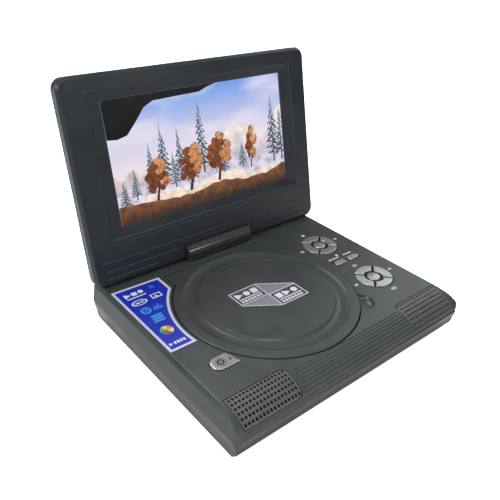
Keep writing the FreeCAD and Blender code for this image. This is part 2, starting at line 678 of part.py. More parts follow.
def build_disc_door():
    body = new_body("DiscDoor")
    plan = new_sketch(body, "door_plan", "XY_Plane", "door_low")
    round_part(plan, "door_rad", "pin_y")
    pad(body, "door_plate", plan, "door_top - door_low")
    plan = new_sketch(body, "door_tab_plan", "XY_Plane", "door_low")
    rectangle(plan, "disc_x - tab_half", "disc_x + tab_half", "disc_y + 20", "pin_y")
    pad(body, "door_tab", plan, "door_top - door_low")
    soften(body, "door_rim_round", "0.9",
           lambda edge: flat_at(value("door_top"))(edge) and edge.BoundBox.YMin < value("pin_y") - 2)
    view = new_sketch(body, "door_knuckle_view", "YZ_Plane", "disc_x - tab_half")
    circle(view, "pin_y", "pin_z", "knuckle_rad")
    pad(body, "door_knuckle", view, "tab_half * 2")
    trough = new_sketch(body, "door_trough_view", "XZ_Plane")
    turn_about(trough, "disc_x", "disc_y")
    steep = arc_rad("trough_mid - trough_in", "trough_deep - 0.1")
    gentle = arc_rad("trough_out - trough_mid", "trough_deep - 0.05")
    outline(trough, [("trough_in", "door_top + 1"), ("trough_in", "door_top - 0.1", steep),
                     ("trough_mid", "door_top - trough_deep", gentle),
                     ("trough_out", "door_top - 0.05"), ("trough_out", "door_top + 1")])
    turned(body, "door_trough", trough, cut=True)
    line = new_sketch(body, "door_line_view", "XZ_Plane")
    turn_about(line, "disc_x", "disc_y")
    rectangle(line, "trough_in - 1", "trough_in - 0.4", "door_top - 0.5", "door_top + 1")
    turned(body, "door_line", line, cut=True)
    pocket_back = new_sketch(body, "door_back_plan", "XY_Plane", "door_low")
    circle(pocket_back, "disc_x", "disc_y", "44")
    pocket(body, "door_back", pocket_back, "1", back=True)
    for hand in ("", "-"):
        side = "right" if hand == "" else "left"
        bore = new_sketch(body, "door_bore_%s_view" % side, "YZ_Plane", "disc_x %s tab_half" % (hand or "+"))
        circle(bore, "pin_y", "pin_z", "pin_rad + run")
        pocket(body, "door_bore_" + side, bore, "5", back=hand == "-")
    return finish(body, "disc_door")


def build_badge():
    """Foil badge: two oblong panels that touch at a corner, inside one six-sided outline."""
    body = new_body("DoorBadge")
    plan = new_sketch(body, "badge_plan", "XY_Plane", "door_top")
    outline(plan, [("disc_x - 22.6", "disc_y - 0.4"), ("disc_x + 1", "disc_y - 15.6"),
                   ("disc_x + 26.6", "disc_y - 15.6"), ("disc_x + 26.6", "disc_y + 0.4"),
                   ("disc_x + 2.4", "disc_y + 16.2"), ("disc_x - 22.6", "disc_y + 16.2")])
    pad(body, "badge_foil", plan, "0.15")
    return finish(body, "door_badge")


# ---------------------------------------------------------------- disc drive
def build_drive():
    plate = new_body("LoaderPlate")
    plan = new_sketch(plate, "loader_plan", "XY_Plane", "9.2")
    round_box(plan, "disc_x - 40", "disc_x + 40", "disc_y - 65", "disc_y + 30", "4")
    pad(plate, "loader_sheet", plan, "1.2")
    for number, (y0, y1) in enumerate((("disc_y - 64", "disc_y - 61"), ("disc_y + 0.4", "disc_y + 3.4"))):
        ears = new_sketch(plate, "loader_ear_plan_%d" % number, "XY_Plane", "10.4")
        for hand in ("-", "+"):
            rectangle(ears, "disc_x %s rod_apart - 2.1" % hand, "disc_x %s rod_apart + 2.1" % hand, y0, y1)
        pad(plate, "loader_ears_%d" % number, ears, "4.6")
    holes = new_sketch(plate, "loader_hole_plan", "XY_Plane", "9")
    for x, y in LOADER_SPOTS:
        circle(holes, x, y, "2.7")
    circle(holes, "disc_x", "disc_y", "4")
    rectangle(holes, "disc_x - 15", "disc_x + 15", "disc_y - 50", "disc_y - 17")
    pocket(plate, "loader_holes", holes, "1.5", back=True)
    bores = new_sketch(plate, "loader_bore_view", "XZ_Plane", "-(disc_y - 66)")
    for hand in ("-", "+"):
        circle(bores, "disc_x %s rod_apart" % hand, "rod_z", "rod_rad")
    pocket(plate, "loader_bores", bores, "80")
    finish(plate, "loader_plate")

    rings = []
    screws = []
    for number, (x, y) in enumerate(LOADER_SPOTS):
        ring = joined("grommet_%d" % number, rod("grommet_low_%d" % number, "4.2", x, y, "8", "1.1"),
                      rod("grommet_neck_%d" % number, "2.6", x, y, "8.9", "2"),
                      rod("grommet_high_%d" % number, "4.2", x, y, "10.5", "1.1"))
        rings.append(minus("grommet_ring_%d" % number, ring,
                           rod("grommet_hole_%d" % number, "1.3", x, y, "7", "6")))
        screws.append(joined("loader_screw_%d" % number, rod("loader_shank_%d" % number, "1.05", x, y, "3", "9"),
                             rod("loader_head_%d" % number, "2.5", x, y, "11.7", "1.4")))
    for number, (x, y) in enumerate(BOARD_SPOTS):
        screws.append(joined("board_screw_%d" % number, rod("board_shank_%d" % number, "1.05", x, y, "2.6", "4.4"),
                             rod("board_head_%d" % number, "2.5", x, y, "6.7", "1.4")))
    finish(separate("LoaderGrommets", *rings), "loader_grommets")
    finish(separate("InnerScrews", *screws), "inner_screws")

    motor = minus("SpindleMotor", rod("motor_can", "12.4", "disc_x", "disc_y", "10.5", "7.2"),
                  rod("motor_bore", "1.0 + run", "disc_x", "disc_y", "11.5", "8"))
    finish(motor, "spindle_motor")
    rods = [rod("rod_%d" % number, "rod_rad", "disc_x %s rod_apart" % hand, "disc_y - 63.5", "rod_z", "66.7", "y")
            for number, hand in enumerate(("-", "+"))]
    finish(separate("GuideRods", *rods), "guide_rods")
    finish(joined("SledMotor", rod("sled_can", "4.4", "disc_x + 28.6", "disc_y - 1", "15.2", "17", "y"),
                  rod("sled_boss", "2.4", "disc_x + 28.6", "disc_y - 2.4", "15.2", "2", "y")), "sled_motor")
    screw = rod("LeadScrew", "1.3", "disc_x + 28.6", "shift_y + disc_y - 61", "shift_z + 15.2", "58.4", "y")
    screw.Label = "lead_screw"
    NODES.append(screw)

    lens_y = "(disc_y - 26)"
    carrier = joined("sled_carrier",
                     block("sled_base", "disc_x - 26", "disc_x + 27", lens_y + " - 6", lens_y + " + 13", "10.9", "15.9"),
                     block("sled_tower", "disc_x - 8", "disc_x + 8", lens_y + " - 5", lens_y + " + 5", "15.5", "21"))
    finish(minus("PickupSled", carrier,
                 rod("sled_bore_left", "rod_rad + run", "disc_x - rod_apart", lens_y + " - 8", "rod_z", "24", "y"),
                 rod("sled_bore_right", "rod_rad + run", "disc_x + rod_apart", lens_y + " - 8", "rod_z", "24", "y"),
                 rod("lens_bore", "4.2", "disc_x", lens_y, "16.2", "6")), "pickup_sled")
    finish(joined("LaserLens", rod("lens_holder", "3.9", "disc_x", lens_y, "17.4", "3.6"),
                  rod("lens_glass", "3", "disc_x", lens_y, "20.8", "1.2")), "laser_lens")

    hub = new_body("SpindleHub")
    view = new_sketch(hub, "hub_view", "XZ_Plane")
    outline(view, [("0", "12"), ("1", "12"), ("1", "18.1"), ("6", "18.1"), ("6", "22.4"), ("14", "22.8"),
                   ("14", "24.2"), ("9.6", "24.5"), ("7.3", "24.5"), ("7.3", "26.2"), ("6.3", "27.3"), ("0", "27.3")])
    turned(hub, "hub_turning", view)
    seats = new_sketch(hub, "hub_seat_plan", "XY_Plane", "27.4")
    for x, y in BALL_SPOTS:
        circle(seats, x, y, "1.25")
    pocket(hub, "hub_seats", seats, "2.6")
    place_at(hub, "spindle_hub", "disc_x", "disc_y", "0")
    balls = []
    for number, (x, y) in enumerate(BALL_SPOTS):
        ball = doc.addObject("Part::Sphere", "hub_ball_%d" % number)
        ball.Radius = 1.2
        ball.Placement.Base = Vector(x, y, 0)
        bind(ball, "Placement.Base.z", "26.05")
        balls.append(ball)
    place_at(separate("HubBalls", *balls), "hub_balls", "disc_x", "disc_y", "0")


BALL_SPOTS = [(round(6.0 * math.cos(math.radians(turn)), 4), round(6.0 * math.sin(math.radians(turn)), 4))
              for turn in (90, 210, 330)]


# ---------------------------------------------------------------- boards, speakers, sockets
def build_inside():
    board = minus("MainBoard", block("board_sheet", "40", "93", "-33", "62", "5.2", "6.6"),
                  *[rod("board_hole_%d" % number, "1.5", x, y, "5", "2") for number, (x, y) in enumerate(BOARD_SPOTS)])
    finish(board, "main_board")
    chips = [block("chip_decoder", "50", "64", "8", "22", "6.6", "8"),
             block("chip_memory", "68", "78", "10", "19", "6.6", "7.8"),
             block("chip_driver", "50", "58", "-16", "-6", "6.6", "8.4"),
             block("chip_power", "66", "76", "32", "40", "6.6", "9.4")]
    finish(separate("MainChips", *chips), "main_chips")
    finish(block_body("KeyBoard", "key_board_plan", "54.6", "92.5", "-47.5", "42", "22.3", "1.4"), "key_board")
    finish(block_body("KeyMat", "key_mat_plan", "54.6", "92.5", "-47.5", "42", "24.9", "0.9"), "key_mat")
    domes = [rod("dome_%d" % number, "2.3", x, y, "23.7", "0.9") for number, (x, y) in enumerate(KEY_SPOTS)]
    finish(separate("KeySwitches", *domes), "key_switches")
    drivers = []
    for hand, label in (("-", "speaker_left"), ("", "speaker_right")):
        low, high = ("-91", "-55") if hand else ("55", "91")
        cone = doc.addObject("Part::Cone", label + "_basket")
        bind(cone, "Radius1", "7.5")
        bind(cone, "Radius2", "9.4")
        bind(cone, "Height", "5")
        bind(cone, "Placement.Base.x", "%s73" % hand)
        bind(cone, "Placement.Base.y", "-69.4")
        bind(cone, "Placement.Base.z", "14")
        drivers.append(joined(label, rod(label + "_magnet", "8", "%s73" % hand, "-69.4", "9.5", "4.8"), cone,
                              block(label + "_rim", low, high, "-79.2", "-59.6", "18.8", "20.2")))
    finish(separate("Speakers", *drivers), "speakers")
    finish(block_body("BatteryPack", "battery_plan", "-94", "-55", "-42", "56", "2.2", "14.5"), "battery_pack")
    build_socket("PowerJack", "power_jack", "44", "4.9", "3.1", "2.75", "9", "0.6")
    build_socket("HeadphoneJack", "headphone_jack", "31", "4.2", "2.9", "1.8", "12", None)
    build_socket("AvJack", "av_jack", "19", "4.2", "2.9", "1.8", "12", None)
    knob = joined("PowerSwitch", block("switch_flange", "93.6", "95.8", "1.6", "8.6", "7", "13.8"),
                  block("switch_stem", "95.6", "98.6", "3.2", "7.6", "8.5", "12.3"),
                  *[block("switch_rib_%d" % number, "98.4", "100.6", 3.2 + number * 1.2, 4.0 + number * 1.2, "8.5", "12.3")
                    for number in range(4)])
    finish(knob, "power_switch")
    wheel = new_body("VolumeWheel")
    plan = new_sketch(wheel, "wheel_plan", "XY_Plane")
    circle(plan, "0", "0", "7")
    pad(wheel, "wheel_disc", plan, "3.8")
    bore = new_sketch(wheel, "wheel_bore_plan", "XY_Plane")
    circle(bore, "0", "0", "1 + run")
    pocket(wheel, "wheel_bore", bore, "5", back=True)
    nick = new_sketch(wheel, "wheel_nick_plan", "XY_Plane")
    circle(nick, "7.15", "0", "0.45")
    cut = pocket(wheel, "wheel_nick", nick, "5", back=True)
    ring = wheel.newObject("PartDesign::PolarPattern", "wheel_nicks")
    ring.Originals = [cut]
    ring.Axis = (plane_of(wheel, "Z_Axis"), [""])
    ring.Angle = 360
    ring.Occurrences = 30
    wheel.Tip = ring
    place_at(wheel, "volume_wheel", "93.9", "-20", "8.5")
    finish(joined("VolumePot", block("pot_box", "88.5", "95.6", "-25", "-15", "6.7", "8.2"),
                  rod("pot_pin", "1", "93.9", "-20", "8", "5")), "volume_pot")


KEY_SPOTS = [(70 + 11 * x, middle + 11 * y) for middle in (25.7, -31.2)
             for x, y in ((0, 0), (1, 0), (0, 1), (-1, 0), (0, -1))] + [(64, -2.5), (79, -2.5)]


def block_body(name, plan_name, x0, x1, y0, y1, z, height):
    body = new_body(name)
    plan = new_sketch(body, plan_name, "XY_Plane", z)
    round_box(plan, x0, x1, y0, y1, "1.5")
    pad(body, plan_name + "_pad", plan, height)
    return body


def build_socket(name, label, y, half, nose, bore, depth, pin):
    """Socket on the right wall: a block on the board, a round nose in the wall and a bore."""
    shell = joined(label + "_shell", block(label + "_block", "84", "95.8", "%s - %s" % (y, half),
                                           "%s + %s" % (y, half), "6.7", "14.2"),
                   rod(label + "_nose", nose, "95.5", y, "10.4", "3.8", "x"))
    shape = minus(label + "_socket", shell, rod(label + "_bore", bore, "99.3 - %s" % depth, y, "10.4", "14", "x"))
    if pin:
        shape = joined(name, shape, rod(label + "_pin", pin, "99.3 - %s - 0.5" % depth, y, "10.4", "8", "x"))
    finish(shape, label)


def build_fittings():
    feet = []
    for number, (x, y) in enumerate(FOOT_SPOTS):
        tread = doc.addObject("Part::Cone", "foot_tread_%d" % number)
        tread.Radius1 = 4.6
        tread.Radius2 = 5.3
        tread.Height = 0.6
        tread.Placement.Base = Vector(x, y, 0)
        bind(tread, "Placement.Base.z", "-shift_z")
        feet.append(joined("foot_%d" % number, tread,
                           rod("foot_pad_%d" % number, "5.3", x, y, "0.6 - shift_z", "shift_z - 0.6 + 0.5")))
    finish(separate("RubberFeet", *feet), "rubber_feet")
    screws = [minus("case_screw_%d" % number,
                    joined("case_screw_solid_%d" % number, rod("case_head_%d" % number, "2.8", x, y, "1.2", "1.8"),
                           rod("case_shank_%d" % number, "1.25", x, y, "2.8", "12")),
                    block("case_slot_%d" % number, x - 1.6, x + 1.6, y - 0.3, y + 0.3, "0.9", "1.8"),
                    block("case_cross_%d" % number, x - 0.3, x + 0.3, y - 1.6, y + 1.6, "0.9", "1.8"))
              for number, (x, y) in enumerate(POST_SPOTS)]
    finish(separate("CaseScrews", *screws), "case_screws")
    pins = [rod("door_pin_right", "pin_rad", "disc_x + tab_half - 4", "pin_y", "pin_z", "7.1", "x"),
            rod("door_pin_left", "pin_rad", "disc_x - tab_half - 3.1", "pin_y", "pin_z", "7.1", "x")]
    finish(separate("DoorHingePins", *pins), "door_hinge_pins")


# ---------------------------------------------------------------- keys
def build_ring_key(name, label, centre_y, turn):
    body = new_body(name)
    plan = new_sketch(body, name + "_plan", "XY_Plane", "key_low")

    def corner(rad, sign):
        run_out = "sqrt(%s * %s - ring_split * ring_split)" % (rad, rad)
        return "(%s + ring_split) * 0.70711" % run_out, "%s(%s - ring_split) * 0.70711" % (sign, run_out)
    inner_low = corner("ring_in", "-")
    inner_high = corner("ring_in", "")
    outer_low = corner("ring_out", "-")
    outer_high = corner("ring_out", "")
    outline(plan, [inner_low, outer_low + ("ring_out",), outer_high, inner_high + ("-1 * ring_in",)])
    pad(body, name + "_pad", plan, "key_top - key_low")
    soften(body, name + "_edge", "0.6", flat_at(value("key_top")))
    place_at(body, label, "ring_x", centre_y, "0", turn)


def build_round_key(name, label, centre_y):
    body = new_body(name)
    view = new_sketch(body, name + "_view", "XZ_Plane")
    outline(view, [("0", "key_low"), ("middle_rad", "key_low"), ("middle_rad", "key_top - 0.7", "1.2"),
                   ("middle_rad - 0.8", "key_top"), ("0", "key_top + 0.25")])
    turned(body, name + "_turning", view)
    place_at(body, label, "ring_x", centre_y, "0")


def build_keys():
    for side, centre in (("rear", "ring_rear_y"), ("front", "ring_front_y")):
        for way, turn in (("right", 0), ("up", 90), ("left", 180), ("down", 270)):
            build_ring_key("Key" + side.title() + way.title(), "key_%s_%s" % (side, way), centre, turn)
        build_round_key("Key" + side.title() + "Middle", "key_%s_middle" % side, centre)
    low = "pill_y - pill_half"
    high = "pill_y + pill_half"
    round_end = "pill_half + 0.02"
    for label, hand in (("key_long_left", "-"), ("key_long_right", "+")):
        body = new_body("Key" + label.title().replace("_", ""))
        plan = new_sketch(body, label + "_plan", "XY_Plane", "key_low")
        inner = "pill_x %s pill_near" % hand
        outer = "pill_x %s (pill_far - pill_round)" % hand
        if hand == "-":
            outline(plan, [(outer, low), (inner, low), (inner, high), (outer, high, round_end)])
        else:
            outline(plan, [(inner, low), (outer, low, round_end), (outer, high), (inner, high)])
        pad(body, label + "_pad", plan, "key_top - key_low")
        soften(body, label + "_edge", "0.6", flat_at(value("key_top")))
        finish(body, label)
    body = new_body("OpenButton")
    plan = new_sketch(body, "open_plan", "XY_Plane", "26.6")
    open_outline(plan, "0")
    pad(body, "open_pad", plan, "deck_z + 1.2 - 26.6")
    soften(body, "open_edge", "0.7", flat_at(value("deck_z + 1.2")))
    finish(body, "open_button")
    latch = joined("DoorLatch", block("latch_slide", "65", "71", "-4", "4", "22", "25.2"),
                   block("latch_nose", "62.8", "65.4", "-2", "2", "24.1", "25.2"))
    place_at(latch, "door_latch", "disc_x", "disc_y", "0", 212)


# ---------------------------------------------------------------- swivel hinge
def build_turret():
    body = new_body("HingeBarrel")
    view = new_sketch(body, "barrel_view", "YZ_Plane")
    circle(view, "axis_y", "axis_z", "barrel_rad")
    pad(body, "barrel_bar", view, "barrel_half * 2", both=True)
    skirt = new_sketch(body, "barrel_skirt_view", "YZ_Plane")
    rectangle(skirt, "axis_y - barrel_rad", "axis_y + barrel_rad", "barrel_low", "axis_z")
    pad(body, "barrel_skirt", skirt, "barrel_half * 2", both=True)
    under = new_sketch(body, "barrel_under_plan", "XY_Plane", "barrel_low")
    rectangle(under, "-40", "40", "axis_y - 10", "axis_y + 10")
    pocket(body, "barrel_flat", under, "10")
    plate = new_sketch(body, "barrel_plate_plan", "XY_Plane", "deck_z - 0.8")
    circle(plate, "0", "axis_y", "plate_rad")
    pad(body, "barrel_plate", plate, "barrel_low - deck_z + 0.8")
    post = new_sketch(body, "barrel_post_plan", "XY_Plane", "deck_z - 0.8")
    circle(post, "0", "axis_y", "post_rad")
    pocket(body, "barrel_post_hole", post, "3", back=True)
    bore = new_sketch(body, "barrel_bore_view", "YZ_Plane")
    circle(bore, "axis_y", "axis_z", "shaft_rad + run")
    pocket(body, "barrel_bore", bore, "barrel_half * 2 + 2", both=True)
    finish(body, "hinge_barrel")
    finish(minus("SwivelShaft", rod("post_solid", "post_rad", "0", "axis_y", "27", "6.8"),
                 rod("post_hole", "3.2", "0", "axis_y", "26", "9")), "swivel_shaft")
    finish(minus("SwivelClip", rod("clip_solid", "8.2", "0", "axis_y", "27.8", "1"),
                 rod("clip_hole", "post_rad", "0", "axis_y", "27", "3")), "swivel_clip")


# ---------------------------------------------------------------- screen, drawn in its own frame
def screen_blank(body, name, near, far, inset="0"):
    plan = new_sketch(body, name + "_plan", "XY_Plane", near)
    round_box(plan, "-lid_half + " + inset, "lid_half - " + inset, "lid_low + " + inset, "lid_top - " + inset,
              "lid_corner - 0.7 * " + inset)
    return pad(body, name, plan, "(%s) - (%s)" % (far, near))


def cut_notch(body, name):
    plan = new_sketch(body, name + "_plan", "XY_Plane", "-20")
    rectangle(plan, "-notch_half", "notch_half", "-20", "notch_top")
    pocket(body, name, plan, "40", back=True)


def cut_lower_edge(body, name):
    """Slants the lower edge so that the screen clears the deck when it leans right back."""
    view = new_sketch(body, name + "_view", "YZ_Plane")
    outline(view, [("lid_low - 2", "lid_front + 1"), ("lid_low - 2", "-20"), ("12", "-20"), ("6.5", "-14"),
                   ("-1.5", "-5"), ("lid_low + 1.06", "lid_split"), ("lid_low", "lid_front"),
                   ("lid_low", "lid_front + 1")])
    pocket(body, name, view, "lid_half * 2 + 4", both=True)


def build_bezel():
    body = new_body("FrontBezel")
    screen_blank(body, "bezel_blank", "lid_split", "lid_front")
    soften(body, "bezel_bevel", "1.9", flat_at(value("lid_front")), "Chamfer")
    hollow = new_sketch(body, "bezel_hollow_plan", "XY_Plane", "lid_split")
    rectangle(hollow, "-lid_half + 3.4", "lid_half - 3.4", "16", "lid_top - 3.4")
    pocket(body, "bezel_hollow", hollow, "2", back=True)
    step = new_sketch(body, "bezel_step_plan", "XY_Plane", "lid_front + 1")
    rectangle(step, "-frame_half", "frame_half", "lcd_low - 7.2", "lcd_high + 5.6")
    pocket(body, "bezel_step", step, "1.5")
    wide = new_sketch(body, "bezel_frame_plan", "XY_Plane", "lid_front - 0.5")
    rectangle(wide, "-frame_half", "frame_half", "lcd_low - 7.2", "lcd_high + 5.6")
    tight = new_sketch(body, "bezel_window_plan", "XY_Plane", "0.7")
    rectangle(tight, "-lcd_half", "lcd_half", "lcd_low", "lcd_high")
    slope = body.newObject("PartDesign::SubtractiveLoft", "bezel_slope")
    slope.Profile = wide
    slope.Sections = [tight]
    slope.Ruled = True
    window = new_sketch(body, "bezel_window_hole_plan", "XY_Plane", "lid_front + 1")
    rectangle(window, "-lcd_half", "lcd_half", "lcd_low", "lcd_high")
    pocket(body, "bezel_window", window, "8")
    cut_notch(body, "bezel_notch")
    cut_lower_edge(body, "bezel_lower_edge")
    grooves = new_sketch(body, "bezel_groove_plan", "XY_Plane", "lid_front + 1")
    frame_low = "lcd_low - 9.4"
    for x0, x1, level in (("-97.5", "97.5", "13.2"), ("-94.6", "-36", "6.6"), ("36", "94.6", "6.6"),
                          ("-94.6", "-55", "1.2"), ("55", "94.6", "1.2")):
        rectangle(grooves, x0, x1, "%s - 0.4" % level, "%s + 0.4" % level)
    rectangle(grooves, "-frame_half - 3", "frame_half + 3", "%s - 0.25" % frame_low, "%s + 0.25" % frame_low)
    pocket(body, "bezel_grooves", grooves, "1.5")
    blocks = new_sketch(body, "bezel_bracket_plan", "XY_Plane", "lid_split")
    for hand in ("", "-"):
        rectangle(blocks, hand + "35", hand + "52", "-3", "13")
    pocket(body, "bezel_bracket_seats", blocks, "3.9", back=True)
    bosses = new_sketch(body, "bezel_boss_plan", "XY_Plane", "lid_split")
    for x, y in SCREEN_SCREWS:
        circle(bosses, x, y, "2.8")
    pad(body, "bezel_screw_bosses", bosses, "2.1")
    holes = new_sketch(body, "bezel_screw_plan", "XY_Plane", "lid_split")
    for x, y in SCREEN_SCREWS:
        circle(holes, x, y, "1.2")
    pocket(body, "bezel_screw_holes", holes, "1.8", back=True)
    shaft = new_sketch(body, "bezel_shaft_view", "YZ_Plane")
    circle(shaft, "0", "0", "shaft_rad + run")
    pocket(body, "bezel_shaft_hole", shaft, "80", both=True)
    finish_screen(body, "front_bezel")


def build_rear_cover():
    body = new_body("RearCover")
    screen_blank(body, "cover_blank", "lid_rim", "lid_split - 0.1")
    near = new_sketch(body, "cover_rim_plan", "XY_Plane", "lid_rim")
    round_box(near, "-lid_half + 0.8", "lid_half - 0.8", "lid_low + 0.8", "lid_top - 0.8", "lid_corner")
    far = new_sketch(body, "cover_back_plan", "XY_Plane", "lid_back")
    round_box(far, "-lid_half + 22", "lid_half - 22", "lid_low + 16", "lid_top - 20", "lid_corner")
    dome = body.newObject("PartDesign::AdditiveLoft", "cover_dome")
    dome.Profile = near
    dome.Sections = [far]
    soften(body, "cover_back_round", "2.5", flat_at(value("lid_back")))
    hollow = new_sketch(body, "cover_hollow_plan", "XY_Plane", "lid_split")
    rectangle(hollow, "-lid_half + 3", "lid_half - 3", "16", "lid_top - 3")
    pocket(body, "cover_hollow", hollow, "2.4")
    near = new_sketch(body, "cover_inner_rim_plan", "XY_Plane", "lid_split - 2")
    rectangle(near, "-lid_half + 4.4", "lid_half - 4.4", "17", "lid_top - 4.4")
    far = new_sketch(body, "cover_inner_back_plan", "XY_Plane", "lid_back + 1.8")
    rectangle(far, "-lid_half + 24.5", "lid_half - 24.5", "22", "lid_top - 22")
    inner = body.newObject("PartDesign::SubtractiveLoft", "cover_inner_dome")
    inner.Profile = near
    inner.Sections = [far]
    cut_notch(body, "cover_notch")
    cut_lower_edge(body, "cover_lower_edge")
    blocks = new_sketch(body, "cover_bracket_plan", "XY_Plane", "lid_split + 1")
    for hand in ("", "-"):
        rectangle(blocks, hand + "35", hand + "52", "0.6", "17")
    pocket(body, "cover_bracket_seats", blocks, "3.6")
    holes = new_sketch(body, "cover_screw_plan", "XY_Plane", "-20")
    for x, y in SCREEN_SCREWS:
        circle(holes, x, y, "2.6")
    pocket(body, "cover_screw_holes", holes, "13.2", back=True)
    holes = new_sketch(body, "cover_shank_plan", "XY_Plane", "-20")
    for x, y in SCREEN_SCREWS:
        circle(holes, x, y, "1.2 + run")
    pocket(body, "cover_shank_holes", holes, "18", back=True)
    finish_screen(body, "rear_cover")


SCREEN_SCREWS = [(-97, 20), (97, 20), (-97, 126), (97, 126)]


def build_screen():
    build_bezel()
    build_rear_cover()
    finish_screen(screen_slab("LcdGlass", "glass_plan", "lcd_half - 0.1", "lcd_low + 0.1", "lcd_high - 0.1",
                              "-0.6", "0.7"), "lcd_glass")
    finish_screen(screen_slab("LcdPanel", "panel_plan", "lcd_half + 5", "lcd_low - 6", "lcd_high + 5",
                              "-4.8", "4.1"), "lcd_panel")
    finish_screen(screen_slab("ScreenBoard", "driver_plan", "52", "lcd_low + 8", "lcd_high - 30",
                              "-8.4", "1.4"), "screen_board")
    shaft = rod("hinge_bar", "shaft_rad", "-48", "0", "0", "96", "x")
    finish_screen(separate("HingeShaft", shaft), "hinge_shaft")
    brackets = []
    for hand, near, far in (("left", "-51", "-36"), ("right", "36", "51")):
        plate = joined("bracket_plate_" + hand, block("bracket_block_" + hand, near, far, "-2.4", "4", "lid_split", "0.8"),
                       block("bracket_leaf_" + hand, near, far, "1.4", "16", "-4.6", "lid_split"))
        brackets.append(minus("bracket_" + hand, plate,
                              rod("bracket_bore_" + hand, "shaft_rad", near + " - 1", "0", "0", "17", "x")))
    finish_screen(separate("HingeBrackets", *brackets), "hinge_brackets")
    screws = [joined("screen_screw_%d" % number, rod("screen_head_%d" % number, "2.4", x, y, "-7.8", "1"),
                     rod("screen_shank_%d" % number, "1.2", x, y, "-6.9", "5.9"))
              for number, (x, y) in enumerate(SCREEN_SCREWS)]
    finish_screen(separate("ScreenScrews", *screws), "screen_screws")


def screen_slab(name, plan_name, half, low, high, near, thick):
    body = new_body(name)
    plan = new_sketch(body, plan_name, "XY_Plane", near)
    round_box(plan, "-(%s)" % half, half, low, high, "0.5")
    pad(body, plan_name + "_pad", plan, thick)
    return body


def write_parts():
    for thing in doc.Objects:
        if "Invalid" in thing.State or "Error" in thing.State:
            raise RuntimeError("%s failed: %s" % (thing.Name, thing.State))
    os.makedirs("parts", exist_ok=True)
    for node in NODES:
        if node.Shape.isNull() or not node.Shape.isValid() or not node.Shape.Solids:
            raise RuntimeError("%s has no valid solid" % node.Label)
        node.Shape.exportStep("parts/%s.step" % node.Label)
    print(len(NODES), "sub-parts written")


build_bottom_case()
build_top_case()
build_grille("-", "grille_left")
build_grille("", "grille_right")
build_label()
build_disc_well()
build_disc_door()
build_badge()
build_drive()
build_inside()
build_fittings()
build_keys()
build_turret()
build_screen()
doc.recompute()
write_parts()
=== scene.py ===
"""Looks of the portable disc player: materials, printed marks, picture, studio and camera."""
import bpy
import bmesh
import json
import math
import random
from mathutils import Matrix, Vector, noise


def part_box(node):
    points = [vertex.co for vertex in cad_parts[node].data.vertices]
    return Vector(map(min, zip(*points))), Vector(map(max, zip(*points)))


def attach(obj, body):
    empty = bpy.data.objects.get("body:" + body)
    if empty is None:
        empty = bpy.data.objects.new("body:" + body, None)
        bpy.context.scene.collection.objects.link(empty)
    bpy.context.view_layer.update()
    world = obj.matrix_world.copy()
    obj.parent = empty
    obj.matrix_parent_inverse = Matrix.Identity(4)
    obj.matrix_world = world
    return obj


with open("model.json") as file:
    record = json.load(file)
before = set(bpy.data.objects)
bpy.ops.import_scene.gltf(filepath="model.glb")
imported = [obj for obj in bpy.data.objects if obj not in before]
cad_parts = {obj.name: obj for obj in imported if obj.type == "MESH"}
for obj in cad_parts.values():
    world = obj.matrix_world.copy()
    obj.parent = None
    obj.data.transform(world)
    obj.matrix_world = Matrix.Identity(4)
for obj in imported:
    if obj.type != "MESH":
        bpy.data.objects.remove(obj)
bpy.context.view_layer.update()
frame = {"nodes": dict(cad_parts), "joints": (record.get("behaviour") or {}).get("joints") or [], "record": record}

MM = 0.001
RANDOM_SEED = 7
random.seed(RANDOM_SEED)

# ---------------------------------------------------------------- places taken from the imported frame
JOINTS = {joint["name"]: joint for joint in frame["joints"]}
NODES = frame["nodes"]


def joint_place(name):
    """Point on a joint's axis, in metres."""
    return Vector(JOINTS[name]["pos_m"])


def node_middle(name):
    """Middle of the box round a node, in metres."""
    low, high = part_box(name)
    return (low + high) / 2


def in_mm(point):
    """x and y of a point given in metres, in mm."""
    return point.x / MM, point.y / MM


def at_height(height):
    """Place of a flat drawing, at a height in metres."""
    return Matrix.Translation((0, 0, height))


DISC = joint_place("spindle_spin")
TILT = joint_place("screen_tilt")
BADGE_LOW, BADGE_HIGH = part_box("door_badge")
LABEL_LOW, LABEL_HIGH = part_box("label_sticker")
DECK_HEIGHT = LABEL_LOW.z

# The open screen's own axes: across the picture, up the picture and out of the picture.
SCREEN_OPEN = math.radians(102.75)
SCREEN_UP = Vector((0, -math.cos(SCREEN_OPEN), math.sin(SCREEN_OPEN)))
SCREEN_OUT = Vector((0, -math.sin(SCREEN_OPEN), -math.cos(SCREEN_OPEN)))
SCREEN_FRAME = Matrix(((1, SCREEN_UP.x, SCREEN_OUT.x, TILT.x),
                       (0, SCREEN_UP.y, SCREEN_OUT.y, TILT.y),
                       (0, SCREEN_UP.z, SCREEN_OUT.z, TILT.z),
                       (0, 0, 0, 1)))


# ---------------------------------------------------------------- materials
BEVEL_SAMPLES = 6
# An edge shows where the rounded normal leaves the true one: cosines at the palest edge and at none. The paler
# edge is partly wear and partly painted highlight.
EDGE_PALEST = 0.86
EDGE_PLAIN = 0.995
# Slow drift of colour and gloss over a moulding, and the noise that breaks up its paler edges, which are partly
# wear and partly painted highlight.
CLOUD_SCALE = 55
EDGE_BREAK_SCALE = 320
EDGE_BREAK_SHARE = 0.7
# Grain of a moulded surface: how far it darkens and lightens the colour, and its bump.
SPECKLE_DARK = 0.82
SPECKLE_PALE = 1.12
SPECKLE_SHARE = 0.6
GRAIN_BUMP = 0.5
COAT_ROUGH = 0.08
METAL_GRAIN = 900
METAL_BUMP = 0.25
INK_GRAIN = 1400
INK_BUMP = 0.3


def srgb(red, green, blue):
    """Linear colour of a screen colour given 0 to 255."""
    def one(level):
        level /= 255
        return level / 12.92 if level <= 0.04045 else ((level + 0.055) / 1.055) ** 2.4
    return one(red), one(green), one(blue), 1


def grey(level):
    return level, level, level, 1


